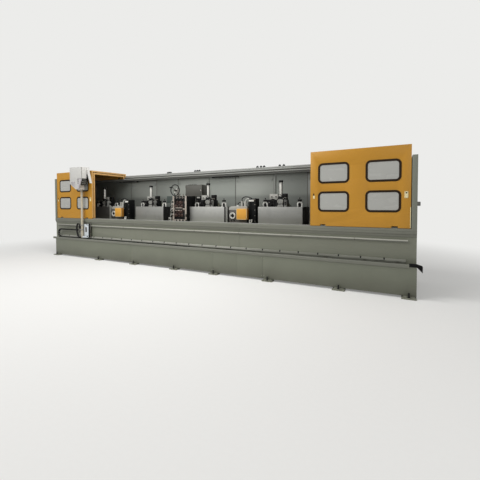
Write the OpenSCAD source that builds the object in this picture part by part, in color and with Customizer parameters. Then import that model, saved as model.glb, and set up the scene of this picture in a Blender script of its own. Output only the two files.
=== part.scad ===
// Five-block wire rolling line on one long bed: guard hoods that slide on rails, five roll
// stands in line, two side-roll units, a roll straightener, and an operator console that
// travels along the front. Origin on the floor under the middle of the machine.
// X runs along the line, Y to the back, Z up. Millimetres.

/* [Bed] */
// Length of the bed over its end faces
bed_length = 8600; // [8500:50:9400]
// Depth of the bed from its front face to its back face
bed_depth = 1320; // [1300:5:1400]
// Height of the bed's table edge over the floor
bed_height = 985; // [960:5:1010]
// Height of the bed's underside over the floor
floor_gap = 36; // [30:2:60]
// Height of the floor of the chain tray
tray_height = 455; // [440:5:470]
// Depth of the ledge that carries the chain tray
ledge_depth = 130; // [126:1:140]
// Height of the tray's front lip over the tray floor
lip_height = 34; // [24:1:40]
// How far the table pan lies below the table edge
pan_depth = 30; // [15:1:45]

/* [Hoods] */
// Length of one sliding guard hood
hood_length = 1456; // [1420:4:1500]
// Height of the outer hoods' roof over the top of the rear beam
hood_lift = 50; // [30:1:90]
// Depth of a hood's folded edge
hood_edge = 38; // [30:1:40]
// Distance from an outer hood's track to an inner hood's track
track_pitch = 52; // [50:1:56]
// Thickness of the hood sheet
sheet = 3; // [2:0.5:4]
// Width of the sheet outside a window
window_margin = 150; // [140:1:170]
// Width of the sheet between two windows
window_post = 283; // [251:4:303]
// Height of a window opening
window_height = 281; // [261:5:331]
// Corner radius of a window opening
window_radius = 50; // [40:1:75]
// Width of the rubber seal around a window
seal_width = 30; // [24:1:34]
// Radius of a hood roller
roller_radius = 18; // [16:0.5:20]

/* [Rear wall] */
// Height of the rear beam's top over the table edge
beam_rise = 1170; // [1160:2:1190]
// Height of the rear beam
beam_height = 150; // [140:1:160]
// Depth of the rear beam
beam_depth = 125; // [115:1:130]
// Thickness of the rear wall
wall_thick = 60; // [50:1:70]
// Width of a rear access panel
panel_width = 940; // [880:10:960]

/* [Rolling line] */
// Distance from the left end frame to the middle of the first block
entry_space = 1232; // [1210:2:1250]
// Distance from the middle of the last block to the right end frame
exit_space = 508; // [500:2:520]
// Height of the wire over the table edge
pass_rise = 365; // [355:1:375]
// Width of a block's stainless front cover
cover_width = 900; // [880:10:910]
// How far the covers end below the wire
cover_drop = 54; // [50:1:70]
// Diameter of a work roll
roll_diameter = 96; // [90:1:98]
// Diameter of a screw-down cylinder
cylinder_diameter = 54; // [48:1:62]
// Length of a screw-down cylinder
cylinder_length = 270; // [250:5:280]
// Diameter of the straightener's handwheel
wheel_diameter = 262; // [240:2:280]
// Diameter of a straightening roller
straightener_roll = 72; // [64:1:74]

/* [Console] */
// Distance from the bed's left end to the console post at rest
console_inset = 1230; // [1200:5:1260]
// Diameter of the console post
post_diameter = 58; // [50:1:62]
// Height of the console head's underside over the floor
head_bottom = 1725; // [1710:5:1750]
// Height of the console head
head_height = 547; // [500:1:560]
// How far the console stands out in front of the bed
console_reach = 150; // [140:1:160]

/* [Hidden] */
$fn = 48;
eps = 0.5;
seat = 0.3;

// Where the main faces lie
half_length = bed_length / 2;
overall_depth = bed_depth + console_reach;
back_y = overall_depth / 2;
front_y = back_y - bed_depth;
face_y = front_y + ledge_depth;
right_joint = round(bed_length / 6);
left_joint = 133 - right_joint;
section_ends = [-half_length, left_joint, right_joint, half_length];
plinth_inset = 180;
plinth_setback = 60;
plinth_back = back_y - plinth_setback;

// Heights that follow the table edge
beam_top = bed_height + beam_rise;
hood_top = beam_top + hood_lift;
pass_height = bed_height + pass_rise;
cover_top = pass_height - cover_drop;
pan_z = bed_height - pan_depth;

// Bands and seams of the bed
edge_reach = 28;
edge_band = 80;
second_reach = 14;
second_band = 40;
seam_width = 4;
seam_depth = 3;
seam_margin = 10;
section_gap = 0.5;
cover_plate_half = 521;
face_seam = 447;
front_rim = 180;
rear_rim = 190;

// Feet, placed by their share of the bed's half length
foot_width = 190;
foot_reach = 60;
foot_plate = 20;
foot_neck = 140;
anchor_radius = 11;
foot_shares = [-0.94, -0.552, -0.278, -0.008, 0.217, 0.477, 0.755, 0.978];
foot_places = [for (share = foot_shares) share * half_length];

// Chain tray and carriage rails
lip_thick = 22;
lip_overhang = 12;
lip_drop = 18;
tray_thick = 6;
tray_start_inset = 80;
tray_end_inset = 95;
rail_end_inset = 110;
lower_rail_stop = 40;
lower_rail_width = 18;
lower_rail_height = 75;
upper_rail_reach = 34;
upper_rail_height = 35;
upper_rail_z = bed_height - 195;
tray_top = tray_height + tray_thick;

// End frames, tracks and where the hoods stand
end_post = 70;
end_gap = 10;
end_frame_top = beam_top - 105;
end_frame_pocket = 18;
end_frame_rim = 80;
end_frame_reach = 8;
end_inner = half_length - end_post;
hood_end = end_inner - end_gap;
track_width = 16;
track_height = 12;
hood_front_y = face_y - 18;
front_track_y = hood_front_y + 22;
beam_front_y = back_y - beam_depth;
rear_track_y = beam_front_y - 27;
rear_track_z = beam_top - 55;
shelf = 8;
hood_bottom = bed_height + 6;
running_gap = 6;
hood_back_inset = 20;

// Windows, notches and fittings of a hood
window_width = (hood_length - window_post) / 2 - window_margin;
window_rows = [hood_bottom + 396, hood_bottom + 854];
seal_thick = 4;
pane_thick = 5;
notch_width = 84;
notch_height = 27;
notch_place = 207;
bracket_width = 60;
bracket_height = 30;
bracket_thick = 6;
roller_width = 14;
roller_pin = 6;
handle_width = 48;
handle_height = 98;
handle_thick = 4;
handle_inset = 60;
handle_z = hood_bottom + 441;

// Rear wall
panel_thick = 10;
panel_groove = 4;
panel_z = bed_height + 90;
panel_head = 12;
wall_front_y = back_y - wall_thick;
beam_bottom = beam_top - beam_height;
panel_height = beam_bottom - panel_head - panel_z;
fold_size = 6;
fold_low = 66;
fold_high = 34;
lamp_length = 684;
lamp_shares = [-0.628, 0.1088, 0.814];
lamp_places = [for (share = lamp_shares) share * half_length];
lamp_size = [58, 36];
box_size = [486, 150, 275];
box_drop = 181;
box_left = 962;
door_groove = 3;
door_margin = 14;
fin_count = 5;
fin_thick = 7;
fin_pitch = 18;

// Nozzles in the end frames
nozzle_radius = 42;
nozzle_step = 8;
nozzle_bore = 20;
nozzle_length = 75;

// Rolling blocks
block_count = 5;
block_pitch = (2 * end_inner - entry_space - exit_space) / (block_count - 1);
block_places = [for (i = [0:block_count - 1]) -end_inner + entry_space + i * block_pitch];
cover_y = front_y + 600;
cover_depth = 130;
cover_lip = 18;
side_plate_depth = 475;
stand_y = cover_y + 45;
stand_depth = 330;
stand_half = 300;
stand_front = 60;
stand_top = pass_height + 120;
base_top = pan_z + 110;
housing_half = 70;
housing_post = 22;
yoke_height = 24;
rib_thick = 16;
rib_setback = 22;
rib_height = 180;
roll_bay = 150;
bay_back = stand_y + stand_front + roll_bay;
stand_back = stand_y + stand_depth;
wire_y = stand_y + stand_front + roll_bay / 2;
gear_left = 420;
gear_right = 60;
gear_top = stand_top - 30;
roll_face = 90;
roll_gap = 5;
roll_axis_gap = (roll_diameter + roll_gap) / 2;
roll_journal = 24;
chock_half = 42;
bearing_gap = 0.3;
screw_radius = 14;
column_y = stand_y + stand_front / 2;
column_size = [50, 50];
column_gap = 4;
column_drop = 40;
valve_size = [100, 75, 120];
flange_size = [96, 56, 30];
cap_radius = 44;
cap_height = 37;
gearbox_left = 308;
gearbox_size = [188, 75, 116];
boss_radius = 17;
boss_reach = 8;
boss_places = [-256, -165];
motor_radius = 62;
motor_length = 125;
motor_places = [-300, 0];
motor_step = 14;
bracket_half = 355;
guide_width = 108;
guide_thick = 22;
guide_leg = 24;
guide_top = pass_height + 48;
guide_y = wire_y - 40;
arch_centre = guide_top - guide_width / 2;
arch_joint = 10;
boss_height = 6;
knob_radius = 40;
knob_height = 34;
stem_radius = 9;
stem_height = 38;

// Side-roll units between the blocks
unit_shift = 155;
unit_places = [(block_places[0] + block_places[1]) / 2 - unit_shift,
               (block_places[2] + block_places[3]) / 2];
unit_y = front_y + 510;
unit_depth = 330;
unit_length = 405;
unit_gap = 15;
unit_column = 145;
unit_column_y = [60, 240];
unit_clearance = 40;
column_right = (block_pitch - cover_width) / 2 - unit_clearance;
column_left = column_right - unit_column;
unit_right = column_left - unit_gap;
unit_left = unit_right - unit_length;
unit_top = pass_height - 119;
unit_column_top = pass_height + 113;
roll_house = [165, 35, 145];
roll_house_top = pass_height - 37;
side_roll_radius = 30;
side_roll_pitch = 34;
side_roll_top = pass_height + 27;
top_overhang = 6;
top_depth = 150;
top_height = pass_height - 42;
top_slope = 60;
dome_inset = 155;
dome_radius = 34;
dome_height = 26;
jack_radii = [22, 29];
jack_inset = [150, 72];
jack_top = pass_height + 60;
post_width = 44;
post_gap = 41;
post_top = pass_height - 40;
guard_size = [228, 80];
guard_right = 31;
guard_z = [pass_height - 307, pass_height - 88];
dial_radius = 66;
dial_ring = 18;
dial_depth = 25;
dial_recess = 15;
dial_inset = 83;
dial_z = pass_height - 234;

// Roll straightener
straight_width = 396;
straight_gap = 15;
straight_x = block_places[2] - cover_width / 2 - straight_gap - straight_width / 2;
straight_depth = 330;
straight_y = front_y + 500;
straight_top = pass_height + 186;
upright = 46;
bar_inset = 10;
bar_bottom = 54;
bar_middle = 30;
bar_top = 59;
bar_middle_z = pass_height - 122;
back_plate = 24;
straight_rolls = 3;
straight_roll_gap = 4;
lower_group = 206;
drive_length = 145;
drive_depth = 230;
drive_height = 96;
wheel_x = straight_x - 92;
wheel_z = straight_top + 132;
wheel_y = straight_y - 35;
spindle_half = 30;
spindle_y = [20, 80];
spindle_head = 40;
wheel_rim = 10;
wheel_spoke = 7;
wheel_hub = 26;
hub_half = 20;
wheel_shaft = 12;
shaft_gap = 0.1;

// Console
console_place = -half_length + console_inset;
carriage_reach = [130, 270];
carriage_plate = 12;
carriage_y = face_y - upper_rail_reach - 20;
carriage_bottom = tray_height + 57;
carriage_top = upper_rail_z + upper_rail_height + 35;
carriage_roller = 17;
roller_inset = 40;
roller_setback = 6;
post_y = carriage_y - post_diameter / 2;
foot_block = 10;
chain_bracket = 40;
chain_width = 44;
chain_thick = 34;
chain_radius = 108;
link_pitch = 62;
link_groove = 3;
chain_left = -half_length + 335;
chain_y = front_y + lip_thick + 12;
chain_anchor = 300;
chain_low = tray_top + chain_thick / 2 + seat;
chain_high = chain_low + 2 * chain_radius;
spout_wall = 38;
spout_drop = 75;
spout_mouth = 90;
spout_width = 80;
spout_overlap = 10;
spout_reach = 70;
head_left = 173;
head_right = 278;
head_depth = 195;
head_step = 144;
head_foot = [50, 110];
head_split = 265;
head_inset = 10;
neck_wall = 6;
neck_height = 60;
panel_foot = 40;
strip_thick = 20;
strip_reach = 137;
strip_end = 150;
strip_root = 80;
strip_depth = 55;

module block(x, y, z) {
    translate([x[0], y[0], z[0]])
        cube([x[1] - x[0], y[1] - y[0], z[1] - z[0]]);
}

// A profile drawn in (Y, Z), run along X from x0 to x1
module along(x0, x1) {
    translate([x0, 0, 0])
        rotate([90, 0, 90])
            linear_extrude(x1 - x0)
                children();
}

// A shape drawn in (X, Z), stood upright from y0 to y1
module upright_plate(y0, y1) {
    translate([0, y1, 0])
        rotate([90, 0, 0])
            linear_extrude(y1 - y0)
                children();
}

// A cylinder along Y from y0 to y1
module pin_y(x, z, y0, y1, radius) {
    translate([x, y1, z])
        rotate([90, 0, 0])
            cylinder(r = radius, h = y1 - y0);
}

// A rectangle with round corners, centred
module rounded(width, height, radius) {
    square([width - 2 * radius, height], center = true);
    square([width, height - 2 * radius], center = true);
    for (sx = [-1, 1], sy = [-1, 1])
        translate([sx * (width / 2 - radius), sy * (height / 2 - radius)])
            circle(radius);
}

// Cross-section of the table: upper face, stepped table edge and sunk pan
module table_profile() {
    band = bed_height - edge_band;
    low_band = band - second_band;
    polygon([
        [back_y, tray_height], [back_y, bed_height],
        [back_y - rear_rim, bed_height], [back_y - rear_rim, pan_z],
        [face_y + front_rim, pan_z], [face_y + front_rim, bed_height],
        [face_y - edge_reach, bed_height], [face_y - edge_reach, band],
        [face_y - second_reach, band], [face_y - second_reach, low_band],
        [face_y, low_band], [face_y, tray_height]
    ]);
}

module groove(x, top, bottom, y) {
    block([x - seam_width / 2, x + seam_width / 2], [y - eps, y + seam_depth], [bottom, top]);
}

function section_start(i) = section_ends[i] + (i > 0 ? section_gap / 2 : 0);
function section_stop(i) = section_ends[i + 1] - (i < 2 ? section_gap / 2 : 0);

// Lower part of the bed, with seams between its sections and beside a cover plate
module plinth_sections() {
    color([0.49, 0.5, 0.44])
        for (i = [0:2])
            difference() {
                block([section_start(i) + (i == 0 ? plinth_inset : 0), section_stop(i)],
                      [front_y, plinth_back], [floor_gap, tray_height]);
                for (x = [left_joint, right_joint - cover_plate_half,
                          right_joint + cover_plate_half])
                    groove(x, tray_height + eps, floor_gap - eps, front_y);
            }
}

// Upper part of the bed, which carries the hoods, the wall and the rolling line
module table_sections() {
    seam_top = bed_height - edge_band - second_band - seam_margin;
    color([0.49, 0.5, 0.44])
        for (i = [0:2])
            difference() {
                along(section_start(i), section_stop(i)) table_profile();
                for (x = [left_joint, right_joint - face_seam, right_joint])
                    groove(x, seam_top, tray_top + lower_rail_height + seam_margin, face_y);
            }
}

// Plates that stand out from under the plinth, front and back, each with its anchor hole
module levelling_feet() {
    color([0.56, 0.56, 0.5])
        for (x = foot_places, side = [0, 1]) {
            y = side == 0 ? front_y : plinth_back;
            inner = y - side * foot_reach;
            difference() {
                union() {
                    block([x - foot_width / 2, x + foot_width / 2], [y - foot_reach, y + foot_reach],
                          [0, foot_plate]);
                    block([x - foot_neck / 2, x + foot_neck / 2], [inner, inner + foot_reach],
                          [foot_plate - eps, floor_gap]);
                }
                translate([x, y + (side - 0.5) * foot_reach, -eps])
                    cylinder(r = anchor_radius, h = foot_plate + 2 * eps);
            }
        }
}

// Floor of the tray that the chain lies in
module tray_floor() {
    color([0.53, 0.54, 0.49])
        block([-half_length + tray_start_inset, half_length - tray_end_inset],
              [front_y + lip_thick - lip_overhang, face_y], [tray_height, tray_top]);
}

// Rounded front lip of the tray, hung over the plinth's edge
module tray_lip() {
    lip_y = front_y - lip_overhang;
    lip_round = lip_thick / 2;
    color([0.53, 0.54, 0.49])
        along(-half_length + tray_start_inset, half_length - tray_end_inset)
            difference() {
                union() {
                    translate([lip_y, tray_height - lip_drop])
                        square([lip_thick, lip_drop + lip_height - lip_round]);
                    translate([lip_y + lip_round, tray_height + lip_height - lip_round])
                        circle(lip_round);
                }
                translate([front_y, tray_height - lip_drop - eps])
                    square([ledge_depth, lip_drop + eps]);
            }
}

module carriage_rails() {
    color([0.68, 0.67, 0.6]) {
        block([-half_length + rail_end_inset, half_length - tray_end_inset - lower_rail_stop],
              [face_y - lower_rail_width, face_y], [tray_top, tray_top + lower_rail_height]);
        block([-half_length + rail_end_inset, half_length - rail_end_inset],
              [face_y - upper_rail_reach, face_y],
              [upper_rail_z, upper_rail_z + upper_rail_height]);
    }
}

function front_track(level) = front_track_y + level * track_pitch;
function rear_track(level) = rear_track_y - level * track_pitch;
function shelf_top(level) = rear_track_z - level * track_pitch;

module track_bar(y, z) {
    block([-hood_end, hood_end], [y - track_width / 2, y + track_width / 2], [z, z + track_height]);
}

module hood_tracks() {
    color([0.62, 0.62, 0.6])
        for (level = [0, 1]) {
            track_bar(front_track(level), bed_height);
            union() {
                track_bar(rear_track(level), shelf_top(level) - eps);
                block([-hood_end, hood_end],
                      [rear_track(level) - track_width / 2, beam_front_y],
                      [shelf_top(level) - shelf, shelf_top(level)]);
            }
        }
}

panel_places = [for (i = [0:block_count - 2]) block_places[i] + block_pitch / 2];

module rear_wall() {
    recess = panel_width + 2 * panel_groove;
    color([0.57, 0.59, 0.56])
        difference() {
            block([-half_length, half_length], [wall_front_y, back_y], [bed_height, beam_bottom]);
            for (x = panel_places, y = [wall_front_y - eps, back_y - panel_thick])
                block([x - recess / 2, x + recess / 2], [y, y + panel_thick + eps],
                      [panel_z - panel_groove, panel_z + panel_height + panel_groove]);
        }
}

module access_panels() {
    color([0.6, 0.62, 0.59])
        for (x = panel_places, y = [wall_front_y, back_y - panel_thick])
            block([x - panel_width / 2, x + panel_width / 2], [y, y + panel_thick],
                  [panel_z, panel_z + panel_height]);
}

// Box beam along the top of the rear wall, with two folds in its front face
module rear_beam() {
    color([0.52, 0.54, 0.51])
        along(-half_length, half_length)
            difference() {
                translate([beam_front_y, beam_bottom]) square([beam_depth, beam_height]);
                for (z = [beam_top - fold_high, beam_bottom + fold_low])
                    translate([beam_front_y - eps, z]) square([fold_size, fold_size]);
            }
}

// Posts and panel that close each end of the housing, with a hole for the nozzle
module end_frames() {
    frame_y = hood_front_y - end_frame_reach;
    color([0.5, 0.53, 0.48])
        for (side = [0, 1])
            mirror([side, 0, 0])
                difference() {
                    block([end_inner, half_length], [frame_y, wall_front_y],
                          [bed_height, end_frame_top]);
                    block([half_length - end_frame_pocket, half_length + eps],
                          [frame_y + end_frame_rim, wall_front_y - end_frame_rim],
                          [bed_height + end_frame_rim, end_frame_top - end_frame_rim]);
                    block([end_inner - eps, half_length + eps], [beam_front_y, wall_front_y + eps],
                          [beam_bottom, end_frame_top + eps]);
                    translate([end_inner - eps, wire_y, pass_height])
                        rotate([0, 90, 0])
                            cylinder(r = nozzle_radius, h = end_post + 2 * eps);
                }
}

// Tubes that lead the wire in at one end and out at the other
module wire_nozzles() {
    color([0.7, 0.7, 0.7])
        for (side = [0, 1])
            mirror([side, 0, 0])
                translate([end_inner, wire_y, pass_height])
                    rotate([0, 90, 0])
                        difference() {
                            union() {
                                cylinder(r = nozzle_radius, h = end_post);
                                translate([0, 0, end_post])
                                    cylinder(r = nozzle_radius - nozzle_step, h = nozzle_length);
                            }
                            translate([0, 0, -eps])
                                cylinder(r = nozzle_bore, h = end_post + nozzle_length + 2 * eps);
                        }
}

module work_lamps() {
    color([0.2, 0.2, 0.2])
        for (x = lamp_places)
            block([x - lamp_length / 2, x + lamp_length / 2],
                  [beam_front_y, beam_front_y + lamp_size[0]],
                  [beam_bottom - lamp_size[1], beam_bottom]);
}

module junction_box() {
    left = block_places[2] - box_left;
    right = left + box_size[0];
    top = beam_bottom - box_drop;
    bottom = top - box_size[2];
    box_y = wall_front_y - box_size[1];
    color([0.36, 0.36, 0.35])
        union() {
            difference() {
                block([left, right], [box_y, wall_front_y], [bottom, top]);
                difference() {
                    block([left + door_margin, right - door_margin], [box_y - eps, box_y + door_groove],
                          [bottom + door_margin, top - door_margin]);
                    block([left + door_margin + door_groove, right - door_margin - door_groove],
                          [box_y - 2 * eps, box_y + 2 * door_groove],
                          [bottom + door_margin + door_groove, top - door_margin - door_groove]);
                }
            }
            for (i = [1:fin_count])
                block([right + i * fin_pitch - fin_thick, right + i * fin_pitch],
                      [box_y + box_size[1] / 3, wall_front_y],
                      [bottom + door_margin, top - door_margin]);
            block([right - eps, right + fin_count * fin_pitch],
                  [wall_front_y - fin_thick, wall_front_y], [bottom + door_margin, top - door_margin]);
        }
}

// Cast stand: base, a front housing with a window, ribs beside it and a gear case behind
module block_stands() {
    window_half = housing_half - housing_post;
    color([0.16, 0.17, 0.17])
        for (x = block_places)
            translate([x, 0, 0])
                difference() {
                    union() {
                        block([-stand_half, stand_half], [stand_y, stand_back], [pan_z, base_top]);
                        block([-housing_half, housing_half], [stand_y, stand_y + stand_front],
                              [base_top - eps, stand_top]);
                        block([-gear_left, gear_right], [bay_back, stand_back],
                              [pan_z, gear_top]);
                        for (side = [0, 1])
                            mirror([side, 0, 0])
                                upright_plate(stand_y + stand_front - eps,
                                              stand_y + stand_front + rib_thick)
                                    polygon([
                                        [window_half, base_top - eps],
                                        [stand_half - rib_setback, base_top - eps],
                                        [housing_half, base_top + rib_height],
                                        [window_half, base_top + rib_height]
                                    ]);
                    }
                    block([-window_half, window_half], [stand_y - eps, stand_y + stand_front + eps],
                          [base_top, stand_top - yoke_height]);
                }
}

// Bearing blocks in the window: the lower one on the base, the upper one under its screw
module roll_chocks() {
    half = housing_half - housing_post;
    low = pass_height - roll_axis_gap;
    high = pass_height + roll_axis_gap;
    color([0.7, 0.7, 0.68])
        for (x = block_places) {
            difference() {
                block([x - half, x + half], [stand_y, stand_y + stand_front],
                      [base_top, low + chock_half]);
                pin_y(x, low, stand_y - eps, stand_y + stand_front + eps,
                      roll_journal + bearing_gap);
            }
            difference() {
                union() {
                    block([x - half, x + half], [stand_y, stand_y + stand_front],
                          [high - chock_half, high + chock_half]);
                    translate([x, column_y, high + chock_half - eps])
                        cylinder(r = screw_radius,
                                 h = stand_top - yoke_height - high - chock_half + eps);
                }
                pin_y(x, high, stand_y - eps, stand_y + stand_front + eps,
                      roll_journal + bearing_gap);
            }
        }
}

// Work rolls above and below the wire, with journals from the chocks to the gear case
module block_rolls() {
    color([0.55, 0.55, 0.55])
        for (x = block_places, side = [-1, 1])
            union() {
                pin_y(x, pass_height + side * roll_axis_gap, wire_y - roll_face / 2,
                      wire_y + roll_face / 2, roll_diameter / 2);
                pin_y(x, pass_height + side * roll_axis_gap, stand_y, bay_back, roll_journal);
            }
}

// Sheet cover open at the back and below, with a lip folded in along its top edge, and the
// deep plate behind its right end
module block_covers() {
    half = cover_width / 2;
    color([0.66, 0.66, 0.65]) {
        for (x = block_places)
            difference() {
                block([x - half, x + half], [cover_y, cover_y + cover_depth], [pan_z, cover_top]);
                block([x - half + sheet, x + half - sheet],
                      [cover_y + sheet, cover_y + cover_depth + eps],
                      [pan_z - eps, cover_top - sheet]);
                block([x - half + cover_lip, x + half - cover_lip],
                      [cover_y + cover_lip, cover_y + cover_depth + eps],
                      [pan_z - eps, cover_top + eps]);
            }
        for (x = block_places)
            block([x + half - sheet, x + half],
                  [cover_y + cover_depth + seat, cover_y + side_plate_depth], [pan_z, cover_top]);
    }
}

module supply_columns() {
    color([0.7, 0.7, 0.68])
        for (x = block_places)
            block([x + housing_half + column_gap, x + housing_half + column_gap + column_size[0]],
                  [column_y - column_size[1] / 2, column_y + column_size[1] / 2],
                  [base_top, stand_top - column_drop]);
}

module screwdown_cylinders() {
    color([0.85, 0.85, 0.83])
        for (x = block_places)
            translate([x, column_y, stand_top + flange_size[2]])
                cylinder(r = cylinder_diameter / 2, h = cylinder_length);
}

// Flange below and cap above each cylinder, and its valve block on the gear case
module cylinder_ends() {
    color([0.08, 0.08, 0.08])
        for (x = block_places) {
            block([x - flange_size[0] / 2, x + flange_size[0] / 2 - column_gap],
                  [column_y - flange_size[1] / 2, column_y + flange_size[1] / 2],
                  [stand_top, stand_top + flange_size[2]]);
            translate([x, column_y, stand_top + flange_size[2] + cylinder_length])
                cylinder(r = cap_radius, h = cap_height);
            block([x + gear_right - valve_size[0], x + gear_right],
                  [bay_back, bay_back + valve_size[1]], [gear_top, gear_top + valve_size[2]]);
        }
}

// Screw-down gearbox on the gear case, with two bosses in front
module block_gearboxes() {
    color([0.72, 0.72, 0.7])
        for (x = block_places)
            union() {
                block([x - gearbox_left, x - gearbox_left + gearbox_size[0]],
                      [bay_back, bay_back + gearbox_size[1]], [gear_top, gear_top + gearbox_size[2]]);
                for (place = boss_places)
                    pin_y(x + place, gear_top + gearbox_size[2] / 2, bay_back - boss_reach,
                          bay_back + eps, boss_radius);
            }
}

module block_motors() {
    color([0.3, 0.33, 0.35])
        for (x = block_places, place = motor_places)
            union() {
                pin_y(x + place, pass_height - roll_axis_gap, stand_back, stand_back + motor_length,
                      motor_radius);
                pin_y(x + place, pass_height - roll_axis_gap, stand_back, stand_back + motor_step,
                      motor_radius + motor_step);
            }
}

// Arched guides that hold the wire at both ends of a block
module guide_arch() {
    half = guide_width / 2;
    difference() {
        union() {
            block([-half, half], [0, guide_thick], [pan_z, arch_centre]);
            pin_y(0, arch_centre, 0, guide_thick, half);
        }
        block([-half + guide_leg, half - guide_leg], [-eps, guide_thick + eps],
              [cover_top - arch_joint, arch_centre]);
        pin_y(0, arch_centre, -eps, guide_thick + eps, half - guide_leg);
    }
    translate([0, guide_thick / 2, guide_top - boss_height])
        cylinder(r = guide_thick / 2, h = 2 * boss_height);
}

module guide_brackets() {
    color([0.86, 0.86, 0.84])
        for (x = block_places, side = [-1, 1])
            translate([x + side * bracket_half, guide_y, 0])
                union() guide_arch();
}

// Clamp knobs on the guides, each with the end of its screw
module guide_knobs() {
    color([0.07, 0.07, 0.07])
        for (x = block_places, side = [-1, 1])
            translate([x + side * bracket_half, guide_y + guide_thick / 2, guide_top + boss_height])
                union() {
                    cylinder(r = knob_radius, h = knob_height);
                    cylinder(r = stem_radius, h = knob_height + stem_height);
                }
}

// Body with two upright side rolls at the wire, and the column beside it
module edger_bodies() {
    color([0.14, 0.14, 0.15])
        for (x = unit_places)
            union() {
                block([x + unit_left, x + unit_right], [unit_y, unit_y + unit_depth],
                      [pan_z, unit_top]);
                block([x + unit_left + roll_house[0], x + unit_right - roll_house[1]],
                      [wire_y - roll_house[2] / 2, unit_y + unit_depth],
                      [unit_top - eps, roll_house_top]);
                for (side = [-1, 1])
                    translate([x, wire_y + side * side_roll_pitch, roll_house_top - eps])
                        cylinder(r = side_roll_radius, h = side_roll_top - roll_house_top + eps);
                block([x + column_left, x + column_right],
                      [unit_y + unit_column_y[0], unit_y + unit_column_y[1]],
                      [pan_z, unit_column_top]);
                block([x + unit_left, x + column_right],
                      [unit_y + unit_column_y[0], unit_y + unit_column_y[1]],
                      [pan_z, pan_z + unit_column_y[0]]);
            }
}

// Block on the front of a side-roll unit, with a sloped end, a dome and two jacks
module edger_tops() {
    back = unit_y + top_depth;
    color([0.68, 0.68, 0.66])
        for (x = unit_places)
            union() {
                upright_plate(unit_y, back)
                    polygon([
                        [x + unit_left - top_overhang, unit_top], [x + unit_right, unit_top],
                        [x + unit_right, top_height],
                        [x + unit_left - top_overhang + top_slope, top_height],
                        [x + unit_left - top_overhang, top_height - top_slope / 2]
                    ]);
                translate([x + unit_left + dome_inset, unit_y + top_depth / 2, top_height - eps])
                    cylinder(r1 = dome_radius, r2 = dome_radius / 2, h = dome_height);
                for (i = [0, 1])
                    translate([x + unit_right - jack_inset[i], unit_y + top_depth / 2, top_height - eps])
                        cylinder(r = jack_radii[i], h = jack_top - top_height);
            }
}

module edger_posts() {
    right = unit_left - top_overhang - post_gap;
    color([0.66, 0.66, 0.64])
        for (x = unit_places)
            block([x + right - post_width, x + right], [unit_y, unit_y + post_width],
                  [pan_z, post_top]);
}

module edger_guards() {
    color([0.84, 0.6, 0.18])
        for (x = unit_places)
            block([x + unit_right + guard_right - guard_size[0], x + unit_right + guard_right],
                  [unit_y - guard_size[1], unit_y], guard_z);
}

// Ring with a sunk face, beside the guard
module edger_dials() {
    color([0.9, 0.9, 0.9])
        for (x = unit_places)
            difference() {
                pin_y(x + unit_left + dial_inset, dial_z, unit_y - dial_depth, unit_y, dial_radius);
                pin_y(x + unit_left + dial_inset, dial_z, unit_y - dial_depth - eps,
                      unit_y - dial_depth + dial_recess, dial_radius - dial_ring);
            }
}

// Two uprights tied by cross bars, open between them
module straightener_frame() {
    left = straight_x - straight_width / 2;
    right = straight_x + straight_width / 2;
    back = straight_y + straight_depth;
    color([0.68, 0.67, 0.64])
        union() {
            for (x = [left, right - upright])
                block([x, x + upright], [straight_y, back], [pan_z, straight_top]);
            for (z = [[pan_z, pan_z + bar_bottom], [bar_middle_z, bar_middle_z + bar_middle],
                      [straight_top - bar_top, straight_top]])
                block([left + eps, right - eps], [straight_y + bar_inset, back - bar_inset], z);
            block([left + eps, right - eps], [back - back_plate, back], [pan_z, straight_top]);
        }
}

// Two groups of rollers, the upper one at the wire, each with an upper and a lower row
module straightener_rolls() {
    inner = straight_width / 2 - upright - straight_roll_gap;
    step = (2 * inner - straightener_roll) / (straight_rolls - 0.5);
    color([0.55, 0.36, 0.26])
        for (i = [0:straight_rolls - 1], row = [0, 1], group = [0, 1])
            pin_y(straight_x - inner + straightener_roll / 2 + (i + row / 2) * step,
                  pass_height - group * lower_group
                      + (2 * row - 1) * (straightener_roll / 2 + straight_roll_gap),
                  straight_y, straight_y + straight_depth - back_plate, straightener_roll / 2);
}

// Drive housing on top of the middle block's gear case
module straightener_drive() {
    left = straight_x + straight_width / 2;
    color([0.1, 0.1, 0.11])
        block([left, left + drive_length], [bay_back + eps, bay_back + drive_depth],
              [gear_top, gear_top + drive_height]);
}

module straightener_spindle() {
    color([0.3, 0.3, 0.3])
        difference() {
            block([wheel_x - spindle_half, wheel_x + spindle_half],
                  [straight_y + spindle_y[0], straight_y + spindle_y[1]],
                  [straight_top, wheel_z + spindle_head]);
            pin_y(wheel_x, wheel_z, straight_y - eps, straight_y + spindle_y[1] + eps,
                  wheel_shaft + shaft_gap);
        }
}

// Handwheel with a round rim, three spokes and a shaft in the spindle block
module handwheel() {
    rim = wheel_diameter / 2 - wheel_rim;
    color([0.2, 0.2, 0.2])
        translate([wheel_x, wheel_y, wheel_z])
            union() {
                rotate([90, 0, 0])
                    rotate_extrude($fn = 64)
                        translate([rim, 0]) circle(wheel_rim, $fn = 16);
                for (turn = [0, 120, 240])
                    rotate([0, turn, 0])
                        cylinder(r = wheel_spoke, h = rim, $fn = 16);
                pin_y(0, 0, -hub_half, straight_y + spindle_y[1] + hub_half - wheel_y, wheel_shaft);
                pin_y(0, 0, -hub_half, hub_half, wheel_hub);
            }
}

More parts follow.
